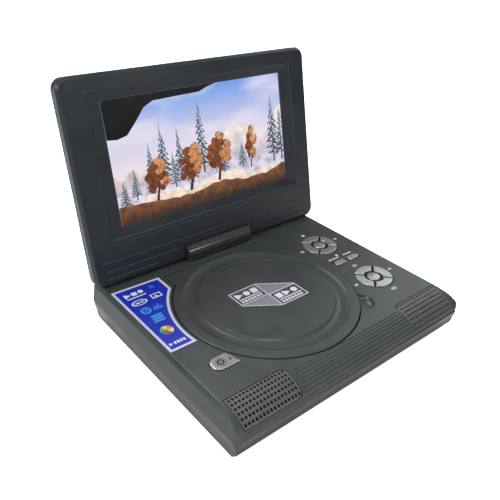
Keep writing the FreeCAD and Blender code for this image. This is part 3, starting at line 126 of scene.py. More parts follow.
def shade(colour, factor):
    return colour[0] * factor, colour[1] * factor, colour[2] * factor, 1


class Shader:
    """Small helper that adds nodes to one material."""

    def __init__(self, name):
        self.material = bpy.data.materials.new(name)
        self.material.use_nodes = True
        self.tree = self.material.node_tree
        self.tree.nodes.clear()
        self.output = self.add("ShaderNodeOutputMaterial")
        self.surface = self.add("ShaderNodeBsdfPrincipled")
        self.link(self.surface, "BSDF", self.output, "Surface")
        self.place = self.add("ShaderNodeTexCoord")

    def add(self, kind, **settings):
        node = self.tree.nodes.new(kind)
        for key, setting in settings.items():
            setattr(node, key, setting)
        return node

    def link(self, source, out, target, into):
        self.tree.links.new(source.outputs[out], target.inputs[into])

    def noise(self, scale, detail=3.0, rough=0.5):
        node = self.add("ShaderNodeTexNoise")
        node.inputs["Scale"].default_value = scale
        node.inputs["Detail"].default_value = detail
        node.inputs["Roughness"].default_value = rough
        self.link(self.place, "Object", node, "Vector")
        return node

    def ramp(self, source, out, stops):
        """Colour ramp with two stops."""
        node = self.add("ShaderNodeValToRGB")
        for element, (spot, colour) in zip(node.color_ramp.elements, stops):
            element.position = spot
            element.color = colour
        self.link(source, out, node, "Fac")
        return node

    def between(self, source, first, second, low=0.3, high=0.7):
        """Colour that goes from first to second over the middle of a noise's range."""
        return self.ramp(source, "Fac", [(low, first), (high, second)])

    def mix(self, kind):
        return self.add("ShaderNodeMixRGB", blend_type=kind)

    def round_normal(self, radius):
        """Normal that rounds sharp edges."""
        bevel = self.add("ShaderNodeBevel", samples=BEVEL_SAMPLES)
        bevel.inputs["Radius"].default_value = radius
        return bevel

    def edges(self, radius):
        """Factor that is 1 on sharp edges and 0 on flat faces."""
        shape = self.add("ShaderNodeNewGeometry")
        dot = self.add("ShaderNodeVectorMath", operation="DOT_PRODUCT")
        self.link(self.round_normal(radius), "Normal", dot, 0)
        self.link(shape, "Normal", dot, 1)
        return self.ramp(dot, "Value", [(EDGE_PALEST, grey(1)), (EDGE_PLAIN, grey(0))])

    def bump(self, source, strength, distance, radius):
        """Bump from a noise, over rounded edges."""
        node = self.add("ShaderNodeBump")
        node.inputs["Strength"].default_value = strength
        node.inputs["Distance"].default_value = distance
        self.link(source, "Fac", node, "Height")
        self.link(self.round_normal(radius), "Normal", node, "Normal")
        self.link(node, "Normal", self.surface, "Normal")


def moulded(name, colour, rough=0.5, grain=2600, depth=0.00005, spread=0.12, wear_and_highlight=1.35, radius=0.0004,
            metal=0.0, coat=0.0, sheen_grain=0.12):
    """Moulded plastic: fine spark-eroded grain, slight colour variation, paler edges that are partly wear and
    partly painted highlight.
    """
    make = Shader(name)
    surface = make.surface
    cloud = make.noise(CLOUD_SCALE, 4)
    base = make.between(cloud, shade(colour, 1 - spread), shade(colour, 1 + spread))
    fine = make.noise(grain, 2, 0.6)
    speckle = make.between(fine, grey(SPECKLE_DARK), grey(SPECKLE_PALE), 0.35, 0.65)
    grained = make.mix("MULTIPLY")
    grained.inputs["Fac"].default_value = SPECKLE_SHARE
    make.link(base, "Color", grained, "Color1")
    make.link(speckle, "Color", grained, "Color2")
    # The paler edge colour is partly wear and partly painted highlight, put on edges where they would catch the
    # light.
    worn_and_lit = make.mix("MIX")
    worn_and_lit.inputs["Color2"].default_value = shade(colour, wear_and_highlight)
    edge_break = make.noise(EDGE_BREAK_SCALE, 5, 0.7)
    wear_and_highlight_mask = make.mix("MULTIPLY")
    wear_and_highlight_mask.inputs["Fac"].default_value = EDGE_BREAK_SHARE
    make.link(make.edges(radius), "Color", wear_and_highlight_mask, "Color1")
    make.link(edge_break, "Fac", wear_and_highlight_mask, "Color2")
    make.link(wear_and_highlight_mask, "Color", worn_and_lit, "Fac")
    make.link(grained, "Color", worn_and_lit, "Color1")
    make.link(worn_and_lit, "Color", surface, "Base Color")
    dull = make.between(cloud, grey(rough - sheen_grain * 0.5), grey(rough + sheen_grain * 0.5))
    make.link(dull, "Color", surface, "Roughness")
    surface.inputs["Metallic"].default_value = metal
    surface.inputs["Coat Weight"].default_value = coat
    surface.inputs["Coat Roughness"].default_value = COAT_ROUGH
    make.bump(fine, GRAIN_BUMP, depth, radius)
    return make.material


def metal(name, colour, rough=0.3):
    """Bare metal with a fine uneven grain."""
    make = Shader(name)
    surface = make.surface
    fine = make.noise(METAL_GRAIN, 4)
    base = make.between(fine, shade(colour, 0.8), shade(colour, 1.15))
    dull = make.between(fine, grey(rough * 0.7), grey(rough * 1.4))
    make.link(base, "Color", surface, "Base Color")
    make.link(dull, "Color", surface, "Roughness")
    surface.inputs["Metallic"].default_value = 1
    make.bump(fine, METAL_BUMP, 0.00002, 0.0002)
    return make.material


def printed(name, colour, rough=0.45):
    """Screen-printed ink with a slightly uneven coat."""
    make = Shader(name)
    surface = make.surface
    uneven = make.noise(INK_GRAIN, 3, 0.6)
    base = make.between(uneven, shade(colour, 0.86), shade(colour, 1.05))
    make.link(base, "Color", surface, "Base Color")
    surface.inputs["Roughness"].default_value = rough
    make.bump(uneven, INK_BUMP, 0.00002, 0.0001)
    return make.material


CASE_COLOUR = srgb(57, 62, 62)
LID_COLOUR = srgb(32, 38, 44)
MATERIALS = {
    # The large edge factors on the case, the screen and the silver keys paint highlights onto their edges.
    "case": moulded("CasePlastic", CASE_COLOUR, rough=0.38, wear_and_highlight=3.2, radius=0.0007),
    "lid": moulded("ScreenPlastic", LID_COLOUR, rough=0.38, wear_and_highlight=6.0, radius=0.0007),
    "grille": moulded("GrillePlastic", srgb(84, 86, 86), rough=0.42),
    "barrel": moulded("BarrelPlastic", srgb(46, 50, 53), rough=0.22, depth=0.00001, coat=0.5),
    "silver_key": moulded("SilverPaint", srgb(172, 172, 167), rough=0.3, grain=5200, depth=0.000002,
                          spread=0.03, wear_and_highlight=2.6, radius=0.0009, metal=0.8, sheen_grain=0.04),
    "black_plastic": moulded("BlackPlastic", srgb(30, 31, 33), rough=0.5),
    "label": moulded("LabelFilm", srgb(20, 46, 178), rough=0.4, depth=0.000005, spread=0.06, coat=0.1),
    "badge": moulded("BadgeFoil", srgb(66, 70, 76), rough=0.35, depth=0.00001, spread=0.08),
    "lcd_front": moulded("PanelGlass", srgb(16, 17, 20), rough=0.12, depth=0.000001, coat=0.6),
    "lcd_back": metal("PanelFrame", srgb(170, 172, 176)),
    "rubber": moulded("FootRubber", srgb(28, 28, 29), rough=0.75, grain=1500),
    "steel": metal("PlatedSteel", srgb(178, 180, 184)),
    "bright_steel": metal("GroundSteel", srgb(205, 207, 210), rough=0.15),
    "board": moulded("CircuitBoard", srgb(22, 92, 44), rough=0.35, grain=700),
    "chip": moulded("ChipResin", srgb(26, 26, 28), rough=0.6),
    "silicone": moulded("SiliconeMat", srgb(120, 122, 124), rough=0.65),
    "battery": moulded("BatteryWrap", srgb(30, 72, 150), rough=0.3),
    "lens": moulded("LensGlass", srgb(70, 60, 130), rough=0.05, depth=0.000001, coat=1.0),
}
WHITE_INK = printed("WhiteInk", srgb(226, 228, 236))
SILVER_INK = printed("SilverInk", srgb(206, 209, 228))
FIELD_INK = printed("FieldInk", srgb(150, 153, 162))
SKY_INK = printed("SkyInk", srgb(70, 150, 235))
DARK_INK = printed("DarkInk", srgb(24, 26, 29), rough=0.7)
for part in frame["record"]["subparts"]:
    node = NODES[part["node"]]
    node.data.materials.clear()
    node.data.materials.append(MATERIALS[part["material_slot"]])


# ---------------------------------------------------------------- printed shapes, all in mm
INK_THICK = 0.03


def signed_area(points):
    """Twice the area inside an outline, below 0 when the outline runs clockwise."""
    before = points[-1:] + points[:-1]
    return sum(one[0] * two[1] - two[0] * one[1] for one, two in zip(before, points))


def prism(bm, points, low, high):
    """Closed prism on a flat outline."""
    bottom = [bm.verts.new((x, y, low)) for x, y in points]
    top = [bm.verts.new((x, y, high)) for x, y in points]
    if signed_area(points) < 0:
        bottom.reverse()
        top.reverse()
    bm.faces.new(list(reversed(bottom)))
    bm.faces.new(top)
    count = len(points)
    for i in range(count):
        j = (i + 1) % count
        bm.faces.new((bottom[i], bottom[j], top[j], top[i]))


def add_piece(name, mesh, material, body):
    """Object that rides on a body and takes its finish from a slot."""
    mesh.materials.append(material)
    piece = bpy.data.objects.new(name, mesh)
    bpy.context.collection.objects.link(piece)
    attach(piece, body)


def printed_piece(name, outlines, place, thick, material, body):
    """Ink that stands a hair above a face.  Outlines are in mm, place is a matrix in metres."""
    mesh = bpy.data.meshes.new(name)
    bm = bmesh.new()
    for points in outlines:
        prism(bm, [(x * MM, y * MM) for x, y in points], 0, thick * MM)
    bm.to_mesh(mesh)
    bm.free()
    mesh.transform(place)
    add_piece(name, mesh, material, body)


def bar(x0, y0, x1, y1, width):
    """Straight printed line."""
    along = Vector((x1 - x0, y1 - y0)).normalized()
    side = Vector((-along.y, along.x)) * width / 2
    return [(x0 + side.x, y0 + side.y), (x1 + side.x, y1 + side.y),
            (x1 - side.x, y1 - side.y), (x0 - side.x, y0 - side.y)]


def box_shape(x0, y0, x1, y1):
    return [(x0, y0), (x1, y0), (x1, y1), (x0, y1)]


def disc_shape(x, y, rad, count=24, start=0, sweep=360):
    """Points on a circle or on an arc of it."""
    return [(x + rad * math.cos(math.radians(start + sweep * i / count)),
             y + rad * math.sin(math.radians(start + sweep * i / count))) for i in range(count)]


def ring_shape(x, y, outer, inner, start=0, sweep=360, count=24):
    """Ring or arc as a list of four-sided pieces."""
    pieces = []
    for i in range(count):
        a = math.radians(start + sweep * i / count)
        b = math.radians(start + sweep * (i + 1) / count)
        pieces.append([(x + outer * math.cos(a), y + outer * math.sin(a)),
                       (x + outer * math.cos(b), y + outer * math.sin(b)),
                       (x + inner * math.cos(b), y + inner * math.sin(b)),
                       (x + inner * math.cos(a), y + inner * math.sin(a))])
    return pieces


def frame_shape(x0, y0, x1, y1, width):
    """Rectangular border as four bars."""
    return [box_shape(x0, y0, x1, y0 + width),
            box_shape(x0, y1 - width, x1, y1),
            box_shape(x0, y0 + width, x0 + width, y1 - width),
            box_shape(x1 - width, y0 + width, x1, y1 - width)]


def place_shapes(shapes, x, y, size=1.0):
    """Shapes moved to a place, and grown by a size."""
    return [[(x + px * size, y + py * size) for px, py in shape] for shape in shapes]


def place_icons(rows):
    """Icons from rows of icon, x, y and size."""
    return [shape for row in rows for shape in place_shapes(*row)]


# ---------------------------------------------------------------- generic icons, drawn about 1 unit wide
PLAY_ICON = [[(-0.45, -0.5), (0.5, 0), (-0.45, 0.5)]]
SKIP_ICON = [[(-0.55, -0.4), (0, 0), (-0.55, 0.4)], [(0, -0.4), (0.55, 0), (0, 0.4)]]
STOP_ICON = [box_shape(-0.42, -0.42, 0.42, 0.42)]
PAUSE_ICON = [box_shape(-0.42, -0.45, -0.12, 0.45), box_shape(0.12, -0.45, 0.42, 0.45)]
DOT_ICON = [disc_shape(0, 0, 0.42, 12)]
SCREEN_ICON = (frame_shape(-0.6, -0.4, 0.6, 0.4, 0.13)
               + [[(-0.35, -0.22), (-0.08, 0.12), (0.18, -0.22)]])
DISC_ICON = ring_shape(0, 0, 0.5, 0.27, count=16) + [disc_shape(0, 0, 0.13, 10)]
OVAL_RING = ring_shape(0, 0, 0.5, 0.38, count=20)
OVAL_ICON = ([[(px * 1.7, py * 0.9) for px, py in piece] for piece in OVAL_RING]
             + [box_shape(-0.45, -0.12, 0.05, 0.08), disc_shape(0.3, 0, 0.14, 10)])
WAVE_ICON = [piece for rad in (0.35, 0.6, 0.85)
             for piece in ring_shape(-0.4, -0.3, rad, rad - 0.1, 10, 70, 8)]
LEVEL_ICON = [box_shape(0.22 * i, -0.4, 0.22 * i + 0.14, -0.4 + tall)
              for i, tall in enumerate((0.35, 0.7, 0.5, 0.85, 0.4))]

# ---------------------------------------------------------------- marks printed on the deck
# Icons stand right of, behind, left of and in front of the middle key of each ring.
RING_SIDES = ((1, 0), (0, 1), (-1, 0), (0, -1))
RING_ICONS = (("key_rear_middle", (PLAY_ICON, STOP_ICON, PAUSE_ICON, DOT_ICON)),
              ("key_front_middle", (SKIP_ICON, SCREEN_ICON, SKIP_ICON, OVAL_ICON)))
RING_REACH = 19.0
RING_ICON_SIZE = 3.0
# Each long key with half the length of the row of dashes behind it.  Step and width are shares of that half.
DASH_ROWS = (("key_long_left", 5.4), ("key_long_right", 4.4))
DASH_COUNT = 3
DASH_STEP = 0.7
DASH_WIDE = 0.56
DASH_FRONT = 5.8
DASH_REAR = 7.2


def build_deck_marks():
    """Small white icons round the two key rings and a row of dashes behind each long key."""
    shapes = []
    for key, icons in RING_ICONS:
        x, y = in_mm(node_middle(key))
        for (along, across), icon in zip(RING_SIDES, icons):
            spot = (x + RING_REACH * along, y + RING_REACH * across)
            shapes += place_shapes(icon, *spot, RING_ICON_SIZE)
    for key, half in DASH_ROWS:
        x, y = in_mm(node_middle(key))
        for i in range(DASH_COUNT):
            left = x - half + i * half * DASH_STEP
            shapes.append(box_shape(left, y + DASH_FRONT, left + half * DASH_WIDE, y + DASH_REAR))
    printed_piece("deck_marks", shapes, at_height(DECK_HEIGHT), INK_THICK, WHITE_INK, "base")


# Disc in a ring, and a triangle over a dash, from the middle of the release key.
RELEASE_MARK = (place_shapes(DISC_ICON, -2.0, 0, 5.0) + ring_shape(-2.0, 0, 3.6, 3.3, count=28)
                + [[(3.4, -1.0), (5.4, -1.0), (4.4, 1.0)], box_shape(3.4, -1.9, 5.4, -1.4)])


def build_release_mark():
    x, y = in_mm(node_middle("open_button"))
    place = at_height(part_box("open_button")[1].z)
    mark = place_shapes(RELEASE_MARK, x, y)
    printed_piece("release_mark", mark, place, INK_THICK, DARK_INK, "open_button")


# ---------------------------------------------------------------- badge on the disc door
# The badge is drawn from the disc's axis.  A panel is left, front, right, rear and its three icons.
BADGE_PANELS = (((-22.0, 0.2, 1.9, 15.7), (PLAY_ICON, DOT_ICON, STOP_ICON)),
                ((1.6, -15.2, 26.2, 0.0), (STOP_ICON, PLAY_ICON, DOT_ICON)))
BADGE_BORDER = 0.65
BADGE_ICON_SIZE = 6.2
BADGE_ICON_LEVEL = 9.9
BADGE_ICON_SHARES = (0.22, 0.5, 0.78)
# Below the icons: one long line, then a row of seven dashes.
BADGE_LINE_INSET = 2.4
BADGE_LINE_LEVELS = (5.0, 6.0)
BADGE_DASH_INSET = 2.6
BADGE_DASH_LEVELS = (1.8, 3.9)
BADGE_DASH_COUNT = 7
BADGE_DASH_SHARE = 0.7
# The two slanting lines, and the pale triangles they close.
BADGE_SLANTS = ((2.2, 15.7, 26.2, 0.3), (-22.0, -0.1, 1.4, -15.1))
BADGE_SLANT_WIDTH = 0.5
BADGE_FIELDS = [[(2.3, 15.3), (2.3, 0.3), (25.6, 0.3)], [(-21.6, -0.4), (1.2, -15.0), (1.2, -0.4)]]
BADGE_FIELD_THICK = 0.02
BADGE_LINE_THICK = 0.04
# A dotted pattern over both triangles: x, y and direction of its start at each square corner.  It is cut
# at the slanting sides.
DOT_CORNERS = ((2.4, 0.4, 1), (1.0, -0.4, -1))
DOT_ROWS = 12
DOT_COLUMNS = 18
DOT_LIMIT = 0.96
DOT_STEP = 1.25
DOT_SQUEEZE = 0.99
DOT_RADIUS = 0.42


def build_badge_print():
    """Two framed panels of icons and dashes, with a pale dotted triangle beside each."""
    x, y = in_mm(DISC)
    top = at_height(BADGE_HIGH.z)
    lines = []
    for (left, front, right, rear), icons in BADGE_PANELS:
        lines += frame_shape(left, front, right, rear, BADGE_BORDER)
        for icon, share in zip(icons, BADGE_ICON_SHARES):
            across = left + (right - left) * share
            lines += place_shapes(icon, across, front + BADGE_ICON_LEVEL, BADGE_ICON_SIZE)
        low, high = BADGE_LINE_LEVELS
        lines.append(box_shape(left + BADGE_LINE_INSET, front + low,
                               right - BADGE_LINE_INSET, front + high))
        low, high = BADGE_DASH_LEVELS
        step = (right - left - 2 * BADGE_DASH_INSET) / BADGE_DASH_COUNT
        for i in range(BADGE_DASH_COUNT):
            start = left + BADGE_DASH_INSET + i * step
            lines.append(box_shape(start, front + low, start + step * BADGE_DASH_SHARE, front + high))
    lines += [bar(*slant, BADGE_SLANT_WIDTH) for slant in BADGE_SLANTS]
    lines = place_shapes(lines, x, y)
    printed_piece("badge_lines", lines, top, BADGE_LINE_THICK, WHITE_INK, "door")
    fields = place_shapes(BADGE_FIELDS, x, y)
    printed_piece("badge_fields", fields, top, BADGE_FIELD_THICK, FIELD_INK, "door")
    dots = []
    for row in range(1, DOT_ROWS):
        for column in range(1, DOT_COLUMNS):
            if column / DOT_COLUMNS + row / DOT_ROWS < DOT_LIMIT:
                along = column * DOT_STEP * DOT_SQUEEZE
                across = row * DOT_STEP
                for corner_x, corner_y, way in DOT_CORNERS:
                    spot = (corner_x + way * along, corner_y + way * across)
                    dots.append(disc_shape(*spot, DOT_RADIUS, 4))
    printed_piece("badge_dots", place_shapes(dots, x, y), top, INK_THICK, DARK_INK, "door")


TICK_COUNT = 11
TICK_START = -152
TICK_STEP = 2
TICK_INNER = 44.0
TICK_OUTER = 46.5
TICK_WIDTH = 0.45
TICK_THICK = 0.05


def build_door_ticks():
    """Short dark ticks on the raised line inside the door's trough."""
    x, y = in_mm(DISC)
    ticks = []
    for i in range(TICK_COUNT):
        turn = math.radians(TICK_START + TICK_STEP * i)
        ticks.append(bar(x + TICK_OUTER * math.cos(turn), y + TICK_OUTER * math.sin(turn),
                         x + TICK_INNER * math.cos(turn), y + TICK_INNER * math.sin(turn), TICK_WIDTH))
    printed_piece("door_ticks", ticks, at_height(BADGE_LOW.z), TICK_THICK, DARK_INK, "door")


# ---------------------------------------------------------------- printed label on the deck
BORDER_WIDTH = 1.9 * MM
FACING_UP = 0.99


def label_border():
    """Pale border that follows the label's own outline."""
    bm = bmesh.new()
    bm.from_mesh(NODES["label_sticker"].data)
    bmesh.ops.remove_doubles(bm, verts=bm.verts, dist=1e-6)
    side = [face for face in bm.faces if face.normal.z < FACING_UP]
    bmesh.ops.delete(bm, geom=side, context="FACES")
    bmesh.ops.dissolve_limit(bm, angle_limit=0.01, verts=bm.verts, edges=bm.edges)
    bmesh.ops.dissolve_faces(bm, faces=bm.faces)
    rim = bmesh.ops.inset_region(bm, faces=list(bm.faces), thickness=BORDER_WIDTH, use_boundary=True,
                                 use_even_offset=True)["faces"]
    keep = set(rim)
    bmesh.ops.delete(bm, geom=[face for face in bm.faces if face not in keep], context="FACES")
    grown = bmesh.ops.extrude_face_region(bm, geom=list(bm.faces))
    lifted = [item for item in grown["geom"] if isinstance(item, bmesh.types.BMVert)]
    bmesh.ops.translate(bm, verts=lifted, vec=(0, 0, INK_THICK * MM))
    bmesh.ops.recalc_face_normals(bm, faces=bm.faces)
    mesh = bpy.data.meshes.new("label_border")
    bm.to_mesh(mesh)
    bm.free()
    add_piece("label_border", mesh, SILVER_INK, "base")


# The marks are set out from a corner just outside the label's own.
LABEL_SHIFT = Vector((-0.5, -2.0, 0)) * MM
LABEL_WHITE_ICONS = ((PLAY_ICON, 8.2, 68.4, 5.2), (STOP_ICON, 13.4, 68.6, 4.6), (DOT_ICON, 18.4, 68.8, 4.8),
                     (OVAL_ICON, 11.4, 57.6, 7.0), (SCREEN_ICON, 25.0, 58.6, 6.6), (PLAY_ICON, 5.0, 8.4, 2.8))
LABEL_SKY_ICONS = ((WAVE_ICON, 27.4, 69.0, 5.4), (DISC_ICON, 10.2, 47.0, 7.4), (LEVEL_ICON, 15.2, 47.0, 6.6))
LABEL_LINE = box_shape(6.0, 63.9, 20.6, 64.9)
LABEL_DASH = box_shape(7.2, 7.2, 8.7, 9.6)
LABEL_DASH_COUNT = 4
LABEL_DASH_STEP = 2.2
# Three leaning bars, one behind the other.
LABEL_SLAB = [(8.0, 32.0), (16.2, 32.0), (16.8, 34.3), (8.6, 34.3)]
LABEL_SLAB_COUNT = 3
LABEL_SLAB_STEP = (0.4, 2.9)
# A wheel of six wedges.
WHEEL_SPOT = (10.4, 21.8)
WHEEL_RADIUS = 4.5
WHEEL_COLOURS = (("orange", (232, 150, 60)), ("yellow", (230, 215, 120)), ("green", (110, 170, 120)),
                 ("teal", (70, 130, 120)), ("rust", (170, 90, 60)), ("cream", (225, 220, 190)))


def build_label_print():
    label_border()
    left, front = in_mm(LABEL_LOW + LABEL_SHIFT)
    top = at_height(LABEL_HIGH.z)
    white = place_icons(LABEL_WHITE_ICONS) + [LABEL_LINE]
    for i in range(LABEL_DASH_COUNT):
        white += place_shapes([LABEL_DASH], LABEL_DASH_STEP * i, 0)
    sky = place_icons(LABEL_SKY_ICONS)
    for i in range(LABEL_SLAB_COUNT):
        sky += place_shapes([LABEL_SLAB], LABEL_SLAB_STEP[0] * i, LABEL_SLAB_STEP[1] * i)
    layers = [("label_white", white, WHITE_INK), ("label_sky", sky, SKY_INK)]
    for i, (word, colour) in enumerate(WHEEL_COLOURS):
        wedge = [WHEEL_SPOT] + disc_shape(*WHEEL_SPOT, WHEEL_RADIUS, 6, 60 * i, 72)
        layers.append(("label_wheel_" + word, [wedge], printed("Ink_" + word, srgb(*colour))))
    for name, shapes, ink in layers:
        printed_piece(name, place_shapes(shapes, left, front), top, INK_THICK, ink, "base")


# ---------------------------------------------------------------- picture on the screen
# Edges of the picture on the screen's own axes, and the front of the glass, in mm.
PICTURE_HALF = 76.8
PICTURE_LOW = 34.3
PICTURE_HIGH = 119.5
GLASS_FRONT = 0.1
LAYER_STEP = 0.03
LAYER_THICK = 0.02
PICTURE_POWER = 0.95
PICTURE_SHINE = 0.12
GLASS_GRAIN = 900
GLASS_BUMP = 0.05
HAZE_COLOUR = srgb(238, 230, 244)
HAZE_SCALE = 17
HAZE_TURN = (0, 0.35, 0)
HAZE_STRETCH = (1, 1, 3.2)


def lit(name, low_colour, high_colour, low_at=0.0, high_at=1.0, mottle=0.1, scale=120, haze=0.0):
    """Glowing picture colour that shades from the picture's bottom to its top, with drifting haze."""
    make = Shader(name)
    surface = make.surface
    along = make.add("ShaderNodeVectorMath", operation="DOT_PRODUCT")
    along.inputs[1].default_value = SCREEN_UP
    make.link(make.place, "Object", along, 0)
    base = TILT.dot(SCREEN_UP)
    span = make.add("ShaderNodeMapRange")
    span.inputs["From Min"].default_value = base + PICTURE_LOW * MM
    span.inputs["From Max"].default_value = base + PICTURE_HIGH * MM
    make.link(along, "Value", span, "Value")
    tone = make.ramp(span, "Result", [(low_at, srgb(*low_colour)), (high_at, srgb(*high_colour))])
    cloud = make.noise(scale, 5, 0.6)
    patch = make.between(cloud, grey(1 - mottle), grey(1 + mottle), 0.35, 0.65)
    mixed = make.mix("MULTIPLY")
    mixed.inputs["Fac"].default_value = 1
    make.link(tone, "Color", mixed, "Color1")
    make.link(patch, "Color", mixed, "Color2")
    drift = make.add("ShaderNodeMapping")
    drift.inputs["Rotation"].default_value = HAZE_TURN
    drift.inputs["Scale"].default_value = HAZE_STRETCH
    make.link(make.place, "Object", drift, "Vector")
    streak = make.noise(HAZE_SCALE, 5)
    make.link(drift, "Vector", streak, "Vector")
    veil = make.between(streak, grey(0), grey(haze), 0.45, 0.68)
    misty = make.mix("MIX")
    misty.inputs["Color2"].default_value = HAZE_COLOUR
    make.link(veil, "Color", misty, "Fac")
    make.link(mixed, "Color", misty, "Color1")
    make.link(misty, "Color", surface, "Emission Color")
    surface.inputs["Emission Strength"].default_value = PICTURE_POWER
    surface.inputs["Base Color"].default_value = (0.01, 0.01, 0.012, 1)
    surface.inputs["Roughness"].default_value = 0.3
    surface.inputs["Specular IOR Level"].default_value = PICTURE_SHINE
    make.bump(make.noise(GLASS_GRAIN, 2), GLASS_BUMP, 0.000005, 0.0001)
    return make.material


def picture_layer(name, shapes, layer, material):
    """One layer of the picture, cut at its edges.  Points are shares of the picture's width and height."""
    tall = PICTURE_HIGH - PICTURE_LOW
    outlines = [[(-PICTURE_HALF + 2 * PICTURE_HALF * min(max(u, 0), 1),
                  PICTURE_LOW + tall * min(max(v, 0), 1)) for u, v in shape] for shape in shapes]
    place = SCREEN_FRAME @ at_height((GLASS_FRONT + LAYER_STEP * layer) * MM)
    printed_piece(name, outlines, place, LAYER_THICK, material, "screen")


RIDGE_STEPS = 50


def ridge(seed, base, tall, low, start=0.0, end=1.0):
    """Mountain line as a strip of upright quads, from coarse and fine noise."""
    def height(u):
        spot = Vector((u * 3.1 + seed, seed * 1.7, 0))
        return base + tall * (0.6 * abs(noise.noise(spot)) * 2 + 0.4 * abs(noise.noise(spot * 4.18)))
    strips = []
    for i in range(RIDGE_STEPS):
        a = start + (end - start) * i / RIDGE_STEPS
        b = start + (end - start) * (i + 1) / RIDGE_STEPS
        strips.append([(a, low), (b, low), (b, height(b)), (a, height(a))])
    return strips


PINE_TIERS = 9


def pine(u, foot, top, wide):
    """Dark boughs and the snow on them."""
    dark, snow = [], []
    tall = top - foot
    dark.append([(u - wide * 0.05, foot), (u + wide * 0.05, foot), (u + 0.001, top), (u - 0.001, top)])
    for i in range(PINE_TIERS):
        share = i / PINE_TIERS
        level = foot + tall * (0.12 + 0.78 * share)
        half = wide * (1 - share) ** 0.8 * (0.8 + 0.4 * random.random()) * 0.5
        rise = tall * 1.15 / PINE_TIERS
        lean = wide * 0.08 * (random.random() - 0.5)
        dark.append([(u - half, level), (u + half, level + rise * 0.1), (u + lean, level + rise)])
        side = 1 if random.random() > 0.5 else -1
        snow.append([(u + lean * 0.5, level + rise * 0.85), (u - side * half * 0.75, level + rise * 0.12),
                     (u - side * half * 0.25, level + rise * 0.3)])
        snow.append([(u, level + rise * 0.45), (u + side * half * 0.55, level + rise * 0.22),
                     (u + side * half * 0.15, level + rise * 0.12)])
    return dark, snow


LEAF_COUNT = 46
LEAF_CORNERS = 9


def leaf_shape(u, v, wide, tall):
    """Ragged patch of leaves."""
    points = []
    for i in range(LEAF_CORNERS):
        turn = 2 * math.pi * i / LEAF_CORNERS
        rad = 0.42 + 0.12 * random.random()
        points.append((u + wide * rad * math.cos(turn), v + tall * rad * math.sin(turn)))
    return points


def shrub(u, foot, top, wide, lean):
    """Stems, shaded leaves and sunlit leaves of a small autumn tree."""
    tall = top - foot
    stems = [[(u - wide * 0.06, foot), (u + wide * 0.06, foot),
              (u + lean + wide * 0.02, foot + tall * 0.6), (u + lean - wide * 0.02, foot + tall * 0.6)],
             [(u - wide * 0.02, foot + tall * 0.15), (u + wide * 0.02, foot + tall * 0.12),
              (u - wide * 0.26, foot + tall * 0.5), (u - wide * 0.3, foot + tall * 0.5)]]
    shaded, sunlit = [], []
    for i in range(LEAF_COUNT):
        turn = random.random() * 2 * math.pi
        rad = math.sqrt(random.random())
        along = rad * math.cos(turn)
        rise = 0.62 + 0.36 * rad * math.sin(turn)
        across = u + lean * rise + wide * 0.5 * along * (1.25 - 0.6 * rise)
        leaf = leaf_shape(across, foot + tall * rise, wide * 0.3, tall * 0.17)
        (sunlit if along + rise > 0.75 and i % 3 else shaded).append(leaf)
    return stems, shaded, sunlit


# Each pine is its middle, foot, top and width, and a shrub has its lean too, as shares of the picture.
PINES = ((0.10, 0.18, 0.44, 0.07), (0.19, 0.2, 0.62, 0.08), (0.26, 0.24, 0.76, 0.09),
         (0.35, 0.24, 0.70, 0.08), (0.41, 0.2, 0.5, 0.08), (0.48, 0.26, 0.88, 0.10),
         (0.6, 0.2, 0.42, 0.08), (0.72, 0.22, 0.46, 0.07), (0.93, 0.2, 0.84, 0.10),
         (0.985, 0.2, 0.72, 0.09), (0.04, 0.12, 0.36, 0.07), (0.31, 0.2, 0.5, 0.07))
SHRUBS = ((0.2, 0.12, 0.47, 0.13, 0.03), (0.39, 0.14, 0.53, 0.14, 0.03),
          (0.56, 0.16, 0.58, 0.14, 0.03), (0.77, 0.2, 0.57, 0.07, 0.02))
WHOLE_PICTURE = [(0, 0), (1, 0), (1, 1), (0, 1)]
OVERHANG = [(0, 0.70), (0.05, 0.69), (0.10, 0.71), (0.15, 0.80), (0.2, 0.9), (0.25, 0.94), (0.36, 0.945),
            (0.50, 0.95), (0.54, 0.975), (0.60, 1.0), (0, 1.0)]


